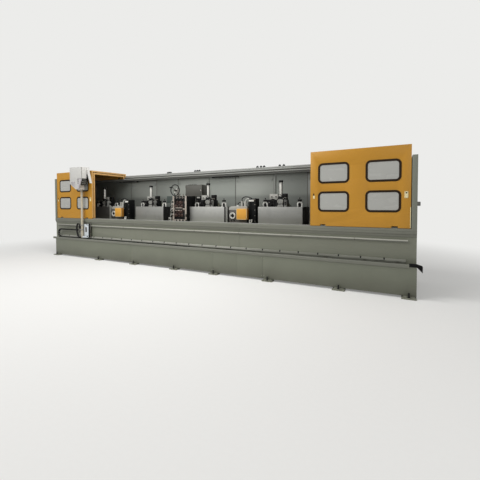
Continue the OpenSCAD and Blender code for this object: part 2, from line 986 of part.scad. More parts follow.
// The chain lies in one fixed loop: a lower run in the tray, a bend and an upper run
module drag_chain() {
    low = chain_low;
    high = chain_high;
    half = chain_thick / 2;
    carriage_left = console_place - carriage_reach[0] - seat;
    color([0.2, 0.2, 0.2])
        translate([0, chain_y, 0])
            difference() {
                union() {
                    block([chain_left, chain_anchor], [0, chain_width], [low - half, low + half]);
                    block([chain_left, carriage_left], [0, chain_width], [high - half, high + half]);
                    translate([chain_left, chain_width, low + chain_radius])
                        rotate([90, 0, 0])
                            linear_extrude(chain_width)
                                intersection() {
                                    difference() {
                                        circle(chain_radius + half);
                                        circle(chain_radius - half);
                                    }
                                    translate([-2 * chain_radius, -2 * chain_radius])
                                        square([2 * chain_radius + eps, 4 * chain_radius]);
                                }
                }
                for (x = [chain_left:link_pitch:chain_anchor - link_pitch])
                    block([x, x + link_groove], [-eps, link_groove],
                          [low - half - eps, low + half + eps]);
                for (x = [chain_left:link_pitch:carriage_left - link_pitch])
                    block([x, x + link_groove], [-eps, link_groove],
                          [high - half - eps, high + half + eps]);
            }
}

// Spout that drains the tray at its right end
module drain_spout() {
    start = half_length - tray_end_inset;
    end = half_length + spout_reach;
    low = tray_height - spout_drop;
    color([0.08, 0.08, 0.08])
        upright_plate(front_y - spout_overlap, front_y - spout_overlap + spout_width)
            polygon([
                [start, tray_height], [half_length, tray_height], [end, low],
                [end, low + spout_mouth], [half_length, tray_height + spout_wall],
                [start, tray_height + spout_wall]
            ]);
}

// Plate with two rollers on the upper rail and one pair against the lower rail
module console_carriage() {
    left = console_place - carriage_reach[0];
    right = console_place + carriage_reach[1];
    rail_top = upper_rail_z + upper_rail_height;
    foot_top = tray_top + lower_rail_height;
    color([0.75, 0.76, 0.77])
        union() {
            block([left, right], [carriage_y, carriage_y + carriage_plate],
                  [carriage_bottom, carriage_top]);
            block([console_place - post_diameter, console_place + post_diameter],
                  [post_y - post_diameter / 2, carriage_y + eps],
                  [carriage_bottom - foot_block, carriage_bottom]);
            block([left, left + chain_bracket], [chain_y, carriage_y + eps],
                  [chain_high - chain_thick, chain_high + chain_thick]);
            for (x = [left + roller_inset, right - roller_inset], z = [rail_top, foot_top])
                pin_y(x, z + carriage_roller + seat, carriage_y + carriage_plate - eps,
                      face_y - roller_setback, carriage_roller);
        }
}

module console_post() {
    color([0.78, 0.77, 0.72])
        translate([console_place, post_y, carriage_bottom])
            cylinder(r = post_diameter / 2, h = head_bottom - carriage_bottom);
}

// Cabinet with a slanted underside and a visor part on its right, and a strip hung from it
module console_head() {
    front = front_y - console_reach;
    back = front + head_depth;
    top = head_bottom + head_height;
    split = head_bottom + head_split;
    strip_low = head_bottom + strip_end;
    color([0.85, 0.85, 0.84])
        translate([console_place, 0, 0])
            union() {
                upright_plate(front, back)
                    polygon([
                        [-head_left, head_bottom + head_step], [head_foot[0], head_bottom],
                        [head_foot[1], head_bottom], [head_foot[1], split], [head_right, split],
                        [head_right, top], [-head_left, top]
                    ]);
                translate([0, post_y, head_bottom])
                    cylinder(r = post_diameter / 2 + neck_wall, h = neck_height);
                upright_plate(back - strip_depth, back)
                    polygon([
                        [head_right - eps, top - strip_root],
                        [head_right + strip_reach - strip_thick, strip_low],
                        [head_right + strip_reach, strip_low],
                        [head_right + strip_thick, top], [head_right - eps, top]
                    ]);
            }
}

// Dark operating panel in the corner under the visor part
module console_panel() {
    front = front_y - console_reach + head_inset;
    back = front_y - console_reach + head_depth - head_inset;
    split = head_bottom + head_split;
    color([0.1, 0.1, 0.1])
        translate([console_place, 0, 0])
            upright_plate(front, back)
                polygon([
                    [head_foot[1], head_bottom],
                    [head_foot[1] + panel_foot, head_bottom + head_inset],
                    [head_right - head_inset, split], [head_foot[1], split]
                ]);
}

window_columns = [for (col = [-1, 1]) (hood_length + col * (window_width + window_post)) / 2];
function hood_start(side) = side < 0 ? -hood_end : hood_end - hood_length;
function hood_y(level) = hood_front_y + level * track_pitch;
function hood_back(level) = rear_track(level) + hood_back_inset;
function hood_roof(level) = hood_top - level * track_pitch;

// Side view of a hood: front sheet, roof and a short flange at the back
module hood_profile(level, thick) {
    y0 = hood_y(level);
    y1 = hood_back(level);
    top = hood_roof(level);
    low = shelf_top(level) + track_height + running_gap;
    polygon([
        [y0, hood_bottom], [y0, top], [y1, top], [y1, low], [y1 - thick, low],
        [y1 - thick, top - thick], [y0 + thick, top - thick], [y0 + thick, hood_bottom]
    ]);
}

module window_shapes(grow) {
    for (x = window_columns, z = window_rows)
        translate([x, z])
            rounded(window_width + 2 * grow, window_height + 2 * grow, window_radius + grow);
}

// Folded sheet with windows, a return at each open end and two roller notches
module hood_shell(side, level) {
    y0 = hood_y(level);
    color([0.72, 0.53, 0.17])
        translate([hood_start(side), 0, 0])
            difference() {
                union() {
                    along(0, hood_length) hood_profile(level, sheet);
                    along(0, sheet) hood_profile(level, hood_edge);
                    along(hood_length - sheet, hood_length) hood_profile(level, hood_edge);
                }
                upright_plate(y0 - eps, y0 + sheet + eps) window_shapes(0);
                for (x = [notch_place, hood_length - notch_place])
                    block([x - notch_width / 2, x + notch_width / 2], [y0 - eps, y0 + sheet + eps],
                          [hood_bottom - eps, hood_bottom + notch_height]);
                for (x = [-eps, hood_length - sheet - eps])
                    block([x, x + sheet + 2 * eps], [y0 + sheet, y0 + 2 * hood_edge],
                          [hood_bottom - eps, bed_height + track_height + running_gap]);
            }
}

// Pane behind each opening with a rubber seal over the sheet's edge
module hood_windows(side, level) {
    y0 = hood_y(level);
    color([0.75, 0.77, 0.76])
        translate([hood_start(side), 0, 0])
            for (x = window_columns, z = window_rows)
                translate([x, 0, z])
                    union() {
                        upright_plate(y0 - seal_thick, y0)
                            difference() {
                                rounded(window_width + seal_width, window_height + seal_width,
                                        window_radius + seal_width / 2);
                                rounded(window_width - seal_width, window_height - seal_width,
                                        window_radius - seal_width / 2);
                            }
                        upright_plate(y0, y0 + pane_thick)
                            rounded(window_width - 2 * eps, window_height - 2 * eps,
                                    window_radius - eps);
                    }
}

module roller_unit(x, y, z, plate_y0, plate_y1) {
    union() {
        pin_y(x, z + roller_radius + seat, y - roller_width / 2, y + roller_width / 2,
              roller_radius);
        pin_y(x, z + roller_radius + seat, min(plate_y0, y), max(plate_y1, y), roller_pin);
        block([x - bracket_width / 2, x + bracket_width / 2], [plate_y0, plate_y1],
              [z + roller_radius - bracket_thick, z + roller_radius + bracket_height]);
    }
}

// Rollers on their brackets and the two flush pulls on the front
module hood_fittings(side, level) {
    y0 = hood_y(level);
    y1 = hood_back(level);
    color([0.12, 0.12, 0.12])
        translate([hood_start(side), 0, 0]) {
            for (x = [notch_place, hood_length - notch_place]) {
                roller_unit(x, front_track(level), bed_height + track_height, y0 + sheet,
                            y0 + sheet + bracket_thick);
                roller_unit(x, rear_track(level), shelf_top(level) + track_height,
                            y1 - sheet - bracket_thick, y1 - sheet);
            }
            for (x = [handle_inset, hood_length - handle_inset])
                block([x - handle_width / 2, x + handle_width / 2], [y0 - handle_thick, y0],
                      [handle_z, handle_z + handle_height]);
        }
}

plinth_sections();
table_sections();
levelling_feet();
tray_floor();
tray_lip();
carriage_rails();
hood_tracks();
rear_wall();
rear_beam();
access_panels();
end_frames();
wire_nozzles();
work_lamps();
junction_box();
block_stands();
roll_chocks();
block_rolls();
block_covers();
supply_columns();
screwdown_cylinders();
cylinder_ends();
block_gearboxes();
block_motors();
guide_brackets();
guide_knobs();
edger_bodies();
edger_tops();
edger_posts();
edger_guards();
edger_dials();
straightener_frame();
straightener_rolls();
straightener_drive();
straightener_spindle();
handwheel();
drag_chain();
drain_spout();
console_carriage();
console_post();
console_head();
console_panel();
hood_shell(-1, 0);  // left_outer_shell
hood_windows(-1, 0);  // left_outer_windows
hood_fittings(-1, 0);  // left_outer_fittings
hood_shell(-1, 1);  // left_inner_shell
hood_windows(-1, 1);  // left_inner_windows
hood_fittings(-1, 1);  // left_inner_fittings
hood_shell(1, 0);  // right_outer_shell
hood_windows(1, 0);  // right_outer_windows
hood_fittings(1, 0);  // right_outer_fittings
hood_shell(1, 1);  // right_inner_shell
hood_windows(1, 1);  // right_inner_windows
hood_fittings(1, 1);  // right_inner_fittings
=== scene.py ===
import math

import bmesh
import bpy
from mathutils import Matrix, Vector


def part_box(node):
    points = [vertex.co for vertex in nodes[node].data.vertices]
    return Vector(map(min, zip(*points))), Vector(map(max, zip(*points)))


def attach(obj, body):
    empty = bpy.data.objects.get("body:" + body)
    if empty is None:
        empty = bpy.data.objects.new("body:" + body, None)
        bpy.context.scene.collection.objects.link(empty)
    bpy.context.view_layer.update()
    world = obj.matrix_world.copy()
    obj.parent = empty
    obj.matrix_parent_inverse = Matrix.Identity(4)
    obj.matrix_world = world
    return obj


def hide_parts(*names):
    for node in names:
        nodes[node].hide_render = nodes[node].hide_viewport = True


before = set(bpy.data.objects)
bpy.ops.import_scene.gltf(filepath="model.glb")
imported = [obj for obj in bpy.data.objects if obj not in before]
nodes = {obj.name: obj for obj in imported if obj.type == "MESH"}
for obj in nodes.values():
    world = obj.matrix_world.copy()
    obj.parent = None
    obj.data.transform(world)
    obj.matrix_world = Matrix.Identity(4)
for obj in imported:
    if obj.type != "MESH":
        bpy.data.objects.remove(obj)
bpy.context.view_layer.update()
scene = bpy.context.scene
print("frame loaded:", len(nodes), "nodes")


# shader helpers

class Val:                                   # a socket that can stand in a sum
    def __init__(self, paint, out):
        self.paint, self.out = paint, out

    def __add__(self, other):
        return self.paint.maths("ADD", self, other)

    def __mul__(self, other):
        return self.paint.maths("MULTIPLY", self, other)

    def __sub__(self, other):
        return self.paint.maths("SUBTRACT", self, other)

    def __rsub__(self, other):
        return self.paint.maths("SUBTRACT", other, self)

    __radd__ = __add__
    __rmul__ = __mul__


class Finish:                                # one material with its node tree
    def __init__(self, name):
        self.material = bpy.data.materials.new(name)
        self.material.use_nodes = True
        self.tree = self.material.node_tree
        self.shader = self.tree.nodes["Principled BSDF"]

    def add(self, kind, settings=None, sockets=None, out=0):
        node = self.tree.nodes.new("ShaderNode" + kind)
        for key, value in (settings or {}).items():
            setattr(node, key, value)
        for key, value in (sockets or {}).items():
            self.feed(node.inputs[key], value)
        return Val(self, node.outputs[out])

    def feed(self, socket, value):
        if isinstance(value, Val):
            self.tree.links.new(value.out, socket)
        else:
            socket.default_value = value[:3] if socket.type == "VECTOR" else value

    def maths(self, operation, a, b):
        return self.add("Math", {"operation": operation}, {0: a, 1: b})

    def noise(self, scale, detail=3.0, stretch=None, roughness=0.5):
        place = self.add("TexCoord", out="Object")
        if stretch:
            place = self.add("Mapping", {}, {"Vector": place, "Scale": stretch})
        return self.add("TexNoise", {}, {"Vector": place, "Scale": scale, "Detail": detail,
                                         "Roughness": roughness})

    def steps(self, value, low, high):       # 0 below low, 1 above high, smooth between
        return self.add("MapRange", {"interpolation_type": "SMOOTHSTEP"},
                        {"Value": value, "From Min": low, "From Max": high})

    def blend(self, mask, a, b):             # colour a where mask is 0, b where it is 1
        return self.add("Mix", {"data_type": "RGBA"}, {0: mask, 6: a, 7: b}, out=2)

    def tone(self, colour, amount):          # colour made lighter or darker by a value
        return self.add("VectorMath", {"operation": "SCALE"}, {0: colour, "Scale": amount})

    def up(self):                            # 1 on faces that look up
        normal = self.add("NewGeometry", out="Normal")
        return self.steps(self.add("SeparateXYZ", {}, {0: normal}, out="Z"), 0.6, 0.95)

    def place(self, axis):                   # where a point lies along X, Y or Z, in metres
        return self.add("SeparateXYZ", {}, {0: self.add("TexCoord", out="Object")}, out=axis)

    def above(self, level):                  # 1 above a height, 0 below
        return self.steps(self.place("Z"), level - 0.002, level + 0.002)

    def bump(self, height, depth, strength=0.6):
        self.feed(self.shader.inputs["Normal"],
                  self.add("Bump", {}, {"Height": height, "Distance": depth, "Strength": strength}))

    def set(self, **values):
        for key, value in values.items():
            self.feed(self.shader.inputs[key.replace("_", " ")], value)
        return self.material


def rgb(r, g, b):                            # a colour as a screen shows it, 0 to 255
    line = [v / 255 / 12.92 if v < 10.3 else ((v / 255 + 0.055) / 1.055) ** 2.4 for v in (r, g, b)]
    return (*line, 1.0)


dustColour, grimeColour = rgb(176, 170, 152), rgb(62, 58, 48)
wallLightSpan = (-1.9, -0.4, 0.8, 2.4)          # painted light: the wall is lightest between the two middle places
wallShadow = (1.49, 1.59)                    # and painted shadow below these heights
tableJoints = (0.872, 0.908, 0.948)          # heights of the joints in the table's stepped edge


def painted(name, colour, rough=0.42, dust=0.35, grime=0.0, patch=0.16, peel=0.0004,
            spread=None, joints=()):
    f = Finish(name)
    wide, fine = f.noise(1.7, 4), f.noise(14, 5, roughness=0.62)
    scuff = f.steps(f.noise(46, 6, stretch=(0.35, 1, 1), roughness=0.7), 0.64, 0.74)
    body = f.tone(colour, 1 - patch * 0.75 + wide * patch + fine * patch * 0.5)
    body = f.blend(scuff * 0.22, body, f.tone(dustColour, 0.9))
    if spread:                               # painted light along the middle of the line, painted shadow low down
        x = f.place("X")
        middle = f.steps(x, *spread[:2]) * (1 - f.steps(x, *spread[2:]))
        lit = f.steps(f.place("Z"), *wallShadow)
        body = f.tone(f.tone(body, 0.64 + middle * 0.44), 0.68 + lit * 0.32)
    for level in joints:                     # dark lines 4 mm high
        z = f.place("Z")
        joint = (f.steps(z, level - 0.005, level - 0.002)
                 * (1 - f.steps(z, level + 0.002, level + 0.005)))
        body = f.blend(joint * 0.6, body, f.tone(colour, 0.55))
    if grime:                                # darker towards the floor, in drifts
        low = 1 - f.steps(f.place("Z") + wide * 0.25, 0.1, 0.5)
        body = f.blend(low * grime, body, grimeColour)
    if dust:
        settled = f.up() * f.steps(fine + wide * 0.5, 0.45, 1.0)
        body = f.blend(settled * dust, body, dustColour)
    f.bump(f.noise(420, 2), peel, 0.35)
    return f.set(Base_Color=body, Roughness=rough + fine * 0.14 - 0.05 + scuff * 0.1,
                 Specular_IOR_Level=0.45)


def brushed(name, colour, rough=0.3, along=(1.2, 160, 160), metal=1.0, shadedEnds=False):
    f = Finish(name)
    grain, cloud = f.noise(6, 3, stretch=along), f.noise(4.5, 4)
    smear = f.steps(cloud, 0.5, 0.72)
    f.bump(grain, 0.00025, 0.3)
    if shadedEnds:                             # painted shade: darker towards both ends of the line, darkest at the far left
        x = f.place("X")
        dull = f.steps(x, 1.3, 1.8) * 0.3 + (1 - f.steps(x, -1.0, -0.5)) * 0.22
        colour = f.tone(colour, 1 - dull - (1 - f.steps(x, -2.6, -2.2)) * 0.45)
    return f.set(Base_Color=f.tone(colour, 0.86 + grain * 0.2 - smear * 0.1), Metallic=metal,
                 Roughness=rough + grain * 0.16 + smear * 0.1)


# first colour: painted shade for the rails' lower faces
railShadeColour, rightEndColour = rgb(96, 97, 88), rgb(112, 113, 102)


# paint rubbed down to a bare colour in places
def worn(name, colour, bare, rough=0.45, share=0.6, shade=None, dull=None):
    f = Finish(name)
    rub = f.steps(f.noise(22, 6, stretch=(0.25, 1, 1), roughness=0.7), share - 0.06, share + 0.06)
    tint = f.noise(5, 4)
    body = f.blend(rub, f.tone(colour, 0.86 + tint * 0.28), bare)
    if dull:                                 # duller and darker along the right end
        body = f.blend(f.steps(f.place("X"), *dull) * 0.75, body, rightEndColour)
    if shade:                                # painted shade: dark below a height
        body = f.blend(f.above(shade), railShadeColour, body)
    f.bump(rub + f.noise(300, 2) * 0.3, 0.0003, 0.5)
    return f.set(Base_Color=body, Metallic=rub * 0.7, Roughness=rough - rub * 0.12 + tint * 0.1)


def casting(name, colour, oil=0.5):          # rough cast iron under a film of oil
    f = Finish(name)
    grain, film = f.noise(130, 5, roughness=0.7), f.steps(f.noise(7, 4), 0.42, 0.62)
    f.bump(grain, 0.0009, 0.5)
    return f.set(Base_Color=f.tone(colour, 0.7 + grain * 0.7), Metallic=0.35,
                 Roughness=0.62 - film * oil * 0.5 + grain * 0.1, Specular_IOR_Level=0.2)


def moulded(name, colour, rough=0.5, dust=0.35):  # plastic or rubber
    f = Finish(name)
    grain, fade = f.noise(240, 3), f.noise(6, 3)
    f.bump(grain, 0.0003, 0.4)
    settled = f.up() * f.steps(fade, 0.45, 0.8)
    body = f.blend(settled * dust, f.tone(colour, 0.8 + fade * 0.4), f.tone(dustColour, 0.5))
    return f.set(Base_Color=body, Roughness=rough + grain * 0.1, Specular_IOR_Level=0.2)


def milky(name, colour):                     # window sheet, with wipe marks and a cloudy tone
    f = Finish(name)
    wipe, cloud = f.noise(9, 5, stretch=(0.5, 1, 1.6)), f.noise(2.2, 3)
    return f.set(Base_Color=f.tone(colour, 0.93 + cloud * 0.14),
                 Roughness=0.2 + f.steps(wipe, 0.45, 0.7) * 0.14, Coat_Weight=0.25)


paints = {
    "bed": painted("bedPaint", rgb(121, 123, 109), 0.44, dust=0.4),
    "plinth": painted("plinthPaint", rgb(109, 112, 98), 0.46, grime=0.42),
    "band": painted("bandPaint", rgb(112, 113, 102), 0.44, dust=0.3, joints=tableJoints),
    # wall and panels carry painted light along the middle and painted shadow low down
    "wall": painted("wallPaint", rgb(132, 136, 129), 0.46, patch=0.14, spread=wallLightSpan),
    "panel": painted("panelPaint", rgb(136, 139, 132), 0.44, patch=0.14, spread=wallLightSpan),
    "beam": painted("beamPaint", rgb(140, 141, 137), 0.42, dust=0.4, patch=0.12),
    "end": painted("endPaint", rgb(113, 116, 105), 0.46, patch=0.12),
    "ochre": painted("hoodOchre", rgb(179, 128, 33), 0.38, dust=0.2, patch=0.14, peel=0.0003),
    # painted light: a paler ochre for the hoods' side faces
    "ochreEdge": painted("hoodOchreEdge", rgb(208, 164, 104), 0.4, dust=0.2, patch=0.1),
    "amber": painted("guardAmber", rgb(208, 150, 55), 0.36, patch=0.08),
    # painted shade: a darker amber for the guards' right faces
    "amberShade": painted("guardAmberShade", rgb(164, 114, 46), 0.42, patch=0.1),
    "tray": worn("trayPaint", rgb(110, 111, 101), rgb(128, 127, 117), share=0.68),
    "rail": worn("upperRail", rgb(160, 160, 149), rgb(182, 181, 170), 0.38, 0.58, 0.806),
    "lowRail": worn("lowerRail", rgb(160, 160, 150), rgb(188, 187, 178), 0.4, 0.55, 0.502,
                    dull=(0.9, 2.4)),
    "track": painted("trackPaint", rgb(136, 137, 132), 0.42, patch=0.12),
    "foot": worn("footPaint", rgb(116, 117, 104), rgb(104, 92, 76), 0.6, share=0.66),
    "stainless": brushed("coverStainless", rgb(178, 178, 173), 0.36, along=(1.0, 130, 130),
                         metal=0.7, shadedEnds=True),
    # painted shade for the covers' side faces
    "shade": casting("coverSideShade", rgb(44, 44, 43), 0.2),
    "steel": brushed("machinedSteel", rgb(186, 184, 178), 0.34, along=(60, 60, 2)),
    "frame": painted("frameGrey", rgb(158, 149, 139), 0.4, patch=0.34),
    "casting": casting("darkCasting", rgb(21, 22, 22)),
    "enamel": painted("whiteEnamel", rgb(196, 195, 188), 0.34, patch=0.1),
    "black": moulded("blackMoulding", rgb(19, 19, 19)),
    "rubber": moulded("windowRubber", rgb(38, 26, 12), 0.7),
    "grey": painted("gearGrey", rgb(150, 149, 142), 0.42, patch=0.14),
    "midGrey": painted("columnGrey", rgb(122, 122, 117), 0.42, patch=0.16),
    "copper": worn("rollerBrown", rgb(62, 39, 31), rgb(132, 104, 88), 0.4, share=0.64),
    "plate": painted("unitPlate", rgb(78, 75, 72), 0.5, patch=0.1),
    "boxGrey": painted("boxGrey", rgb(78, 77, 71), 0.48),
    "spout": moulded("spoutBlack", rgb(11, 11, 11), 0.8, dust=0.04),
    "motor": painted("motorGreen", rgb(58, 66, 62), 0.46),
    "lamp": moulded("lampBody", rgb(44, 44, 44), 0.4),
    "diffuser": milky("lampDiffuser", rgb(206, 208, 206)),
    "chain": moulded("chainLinks", rgb(25, 26, 25), 0.46),
    "console": painted("consolePaint", rgb(185, 184, 180), 0.38, patch=0.06),
    # painted light: a lighter console paint for the head's right faces
    "consoleSide": painted("consoleSide", rgb(216, 214, 209), 0.38, patch=0.06),
    "keyGrey": painted("keyGrey", rgb(176, 172, 174), 0.44, patch=0.14),
    "post": painted("postCream", rgb(176, 168, 148), 0.36, patch=0.08),
    "pane": milky("windowPane", rgb(164, 164, 159)),
    "bright": painted("brightPlate", rgb(196, 202, 206), 0.34, patch=0.1),
    "rim": painted("guardRim", rgb(214, 186, 134), 0.4, patch=0.08),
    "cream": painted("pullCream", rgb(216, 204, 160), 0.4, dust=0.1, patch=0.06),
    "bolt": brushed("boltZinc", rgb(150, 148, 140), 0.36, along=(40, 40, 40)),
}
print("finishes:", len(paints))


# mesh helpers: all sizes in millimetres, in the frame of the CAD model

creaseAngle = 38                             # degrees: edges sharper than this are softened
toFront = (0, -1, 0)
axisTurns = {"y": Matrix.Rotation(-math.pi / 2, 3, "X"), "z": Matrix.Identity(3)}


def islands(bm):                             # groups of faces that hang together
    left = set(bm.faces)
    while left:
        group, todo = [], [left.pop()]
        while todo:
            face = todo.pop()
            group.append(face)
            for edge in face.edges:
                for other in edge.link_faces:
                    if other in left:
                        left.discard(other)
                        todo.append(other)
        yield group


def soften(bm, width, angle):
    limit = math.radians(angle)
    for group in list(islands(bm)):
        edges = {e for f in group if f.is_valid for e in f.edges
                 if len(e.link_faces) == 2 and e.calc_face_angle(0) > limit}
        if edges:
            bmesh.ops.bevel(bm, geom=list(edges), offset=width, offset_type="OFFSET", segments=2,
                            profile=0.6, affect="EDGES", clamp_overlap=True, material=-1)


def publish(bm, name, body, finishes, stands=(), angle=creaseAngle):
    mesh = bpy.data.meshes.new(name)
    bm.to_mesh(mesh)
    bm.free()
    for key in finishes.split():             # names from paints, such as "bolt black"
        mesh.materials.append(paints[key])
    mesh.polygons.foreach_set("use_smooth", [True] * len(mesh.polygons))
    mesh.set_sharp_from_angle(angle=math.radians(angle))
    piece = bpy.data.objects.new(name, mesh)
    scene.collection.objects.link(piece)
    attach(piece, body)
    if stands:
        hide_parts(*stands)
    return piece


class Shape:
    def __init__(self):
        self.bm = bmesh.new()

    def face(self, verts, mat):
        self.bm.faces.new(verts).material_index = mat

    def loft(self, rings, mat=0):            # skin over rings of points, closed at both ends
        rows = [[self.bm.verts.new(p) for p in ring] for ring in rings]
        count = len(rows[0])
        for a, b in zip(rows, rows[1:]):
            for i in range(count):
                j = (i + 1) % count
                self.face([a[i], a[j], b[j], b[i]], mat)
        self.face(rows[0][::-1], mat)
        self.face(rows[-1], mat)

    def box(self, x, y, z, mat=0):
        base = [(x[0], y[0]), (x[1], y[0]), (x[1], y[1]), (x[0], y[1])]
        self.loft([[(*p, h) for p in base] for h in z], mat)

    def prism(self, outline, axis, low, high, mat=0):  # outline in the two other axes
        def at(p, h):
            return (h, *p) if axis == "x" else (p[0], h, p[1])
        self.loft([[at(p, h) for p in outline] for h in (low, high)], mat)

    # a round form, from pairs of radius and distance along the axis
    def turned(self, profile, centre, mat=0, sides=28, axis=toFront):
        turn = axisTurns[axis] if isinstance(axis, str) else \
            Vector((0, 0, 1)).rotation_difference(Vector(axis)).to_matrix()
        angles = [i * math.tau / sides for i in range(sides)]
        self.loft([[Vector(centre) + turn @ Vector((r * math.cos(a), r * math.sin(a), away))
                    for a in angles] for r, away in profile], mat)

    def rod(self, start, end, radius, mat=0, sides=20):
        way = Vector(end) - Vector(start)
        chamfer = min(radius * 0.15, 1.5)
        self.turned([(radius - chamfer, 0), (radius, chamfer), (radius, way.length - chamfer),
                     (radius - chamfer, way.length)], start, mat, sides, way.normalized())

    def bolt(self, centre, size, mat=0, way=toFront):  # hex head on a washer
        washer = size * 0.2
        self.turned([(size * 1.1, 0), (size * 1.1, washer)], centre, mat, 16, way)
        self.turned([(size * 0.9, 0), (size * 0.9, size * 0.5), (size * 0.75, size * 0.62)],
                    Vector(centre) + Vector(way) * washer, mat, 6, way)

    def tube(self, points, radius, mat=0, sides=12):
        path, fine, parts = [Vector(p) for p in points], [], 6
        for i in range(len(path) - 1):       # Catmull-Rom between the given points
            a, b = path[max(i - 1, 0)], path[i]
            c, d = path[i + 1], path[min(i + 2, len(path) - 1)]
            for k in range(parts):
                t = k / parts
                fine.append(0.5 * (2 * b + (c - a) * t + (2 * a - 5 * b + 4 * c - d) * t * t
                                   + (3 * b - 3 * c + d - a) * t ** 3))
        fine.append(path[-1])
        rings, side = [], None
        for i, p in enumerate(fine):
            way = (fine[min(i + 1, len(fine) - 1)] - fine[max(i - 1, 0)]).normalized()
            side = (side - way * side.dot(way)) if side else way.orthogonal()
            side.normalize()
            across = way.cross(side)
            rings.append([p + radius * (side * math.cos(k * math.tau / sides)
                                        + across * math.sin(k * math.tau / sides))
                          for k in range(sides)])
        self.loft(rings, mat)

    def sweep(self, path, profile, mat=0):   # closed path in X and Z, profile out and Y
        rows, n = [], len(path)
        for i, (x, z) in enumerate(path):
            before, after = Vector(path[i - 1]), Vector(path[(i + 1) % n])
            way = (after - before).normalized()
            out = Vector((way.y, -way.x))
            rows.append([self.bm.verts.new((x + out.x * o, y, z + out.y * o)) for o, y in profile])
        for i in range(n):
            a, b = rows[i], rows[(i + 1) % n]
            for k in range(len(profile)):
                j = (k + 1) % len(profile)
                self.face([a[k], a[j], b[j], b[k]], mat)

    def done(self, name, body, finishes, bevel=1.0, stands=(), angle=creaseAngle):
        bmesh.ops.recalc_face_normals(self.bm, faces=self.bm.faces)
        bmesh.ops.scale(self.bm, vec=(0.001, 0.001, 0.001), verts=self.bm.verts)
        if bevel:
            soften(self.bm, bevel / 1000, angle)
        publish(self.bm, name, body, finishes, stands, angle)


def roundedPath(cx, cz, width, height, radius, steps=10):
    path = []
    for turn, (sx, sz) in enumerate([(1, 1), (-1, 1), (-1, -1), (1, -1)]):
        mx, mz = cx + sx * (width / 2 - radius), cz + sz * (height / 2 - radius)
        for k in range(steps + 1):
            a = math.radians(90 * turn + 90 * k / steps)
            path.append((mx + radius * math.cos(a), mz + radius * math.sin(a)))
    return path


def every(step, start, stop):                # places from start on, before stop
    while start < stop:
        yield start
        start += step


def about(middle, half):                     # low and high side of a form round its middle
    return (middle - half, middle + half)


def nodeBox(name):                           # a node's reach in X, Y and Z
    low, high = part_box(name)
    return [(low[i] * 1000, high[i] * 1000) for i in range(3)]


def sideFace(face):                          # 1 on faces that look left or right
    return int(abs(face.normal.x) > 0.7)


def rightFace(face):                         # 1 on faces that look right
    return int(face.normal.x > 0.7)


def dress(node, finishes, bevel=1.2, pick=None, body="bed"):
    bm = bmesh.new()                         # a copy of the solid's mesh with softened edges
    bm.from_mesh(nodes[node].data)
    bmesh.ops.remove_doubles(bm, verts=bm.verts, dist=0.00002)
    bmesh.ops.dissolve_limit(bm, angle_limit=math.radians(0.8), verts=bm.verts, edges=bm.edges)
    for face in bm.faces:
        face.material_index = pick(face) if pick else 0
    soften(bm, bevel / 1000, creaseAngle)
    return publish(bm, node + "_dressed", body, finishes, (node,))


# bed, tray, rails and feet

bed = {"front": -585, "back": 675, "anchor": 30, "seams": (912, 1954), "edge": 0.86,
       "feet": (-4042, -2373.6, -1195.4, -34.4, 933.1, 2051.1, 3246.5, 4205.4), "footTop": 20,
       "screwRows": (90, 400)}
rails = {"between": 0.6, "screwPitch": 330, "screwY": -466, "screwZ": 535.5, "splicePitch": 1020}


def edgeFace(face):                          # 1 on the stepped edge along the table's front
    return int(face.normal.y < -0.5 and face.calc_center_median().z > bed["edge"])


def lowRailFace(face):
    return int(face.calc_center_median().z < rails["between"])


dress("plinth_sections", "plinth", 2.2)
dress("table_sections", "bed band", 1.6, edgeFace)
dress("tray_floor", "tray", 1.0)
dress("tray_lip", "tray", 1.0)
dress("levelling_feet", "foot", 2.0)
dress("hood_tracks", "track", 1.2)
dress("carriage_rails", "rail lowRail", 1.6, lowRailFace)
railX, railY, railZ = nodeBox("carriage_rails")

s = Shape()
for x in every(rails["screwPitch"], railX[0] + 150, railX[1] - 100):
    # dark screws along the top of the lower rail
    s.turned([(13, 0), (13, 4), (10, 7)], (x, rails["screwY"], rails["screwZ"]), 1, 16, "z")
    s.box(about(x, 9), (-474.2, -472), (512, 537), 1)
for x in every(rails["splicePitch"], railX[0] + rails["splicePitch"] / 2, railX[1] - 60):
    # splice marks and screws of the upper rail
    s.box(about(x, 2), (railY[0] - 0.8, railY[0] + 4), (railZ[1] - 35, railZ[1] + 0.8), 1)
    for side in (-1, 1):
        s.turned([(6, 0), (6, 3)], (x + side * 26, railY[0] + 0.5, railZ[1] - 18), 0, 12)
s.done("rail_screws", "bed", "bolt black", 0.6)

s = Shape()
for x in bed["feet"]:
    for y in (bed["front"] - bed["anchor"], bed["back"] + bed["anchor"]):
        top = bed["footTop"]                 # washer, nut and anchor stud
        s.turned([(20, 0), (20, 3)], (x, y, top), 0, 24, "z")
        s.turned([(17, 0), (17, 15), (14, 17)], (x, y, top + 3), 1, 6, "z")
        s.rod((x, y, 1), (x, y, 88), 10.5, 1, 18)
s.done("foot_bolts", "bed", "bolt black", 0.8)

s = Shape()                                  # screws that hold the plinth's cover plates
for seam in bed["seams"]:
    for side in (-1, 1):
        for z in bed["screwRows"]:
            s.turned([(7, 0), (7, 2), (5, 3.2)], (seam + side * 22, bed["front"] + 0.5, z), 0, 16)
s.done("plate_screws", "bed", "bolt", 0.4)

dress("drain_spout", "spout", 3)
print("bed dressed")


# rear wall, beam, end frames, lamps and junction box

line = {"first": -2998, "pitch": 1680, "blocks": 5}
panel = {"latchX": 425, "latchZ": 110, "sealX": 476, "channel": (1690, 1714)}
beam = {"clips": (-1250, -1205, -1160, -385, -320, -260, 1300, 1385, 1460, 1820, 1910),
        "screwsTo": 3900, "screwPitch": 600}
workLamp = {"places": (-2700.4, 467.8, 3500.2), "half": 342, "top": 2005, "low": 1971}
box = {"left": -600, "door": 486, "lockZ": 1687, "glands": 5, "glandX": -560, "glandPitch": 52}
blockX = [line["first"] + line["pitch"] * i for i in range(line["blocks"])]

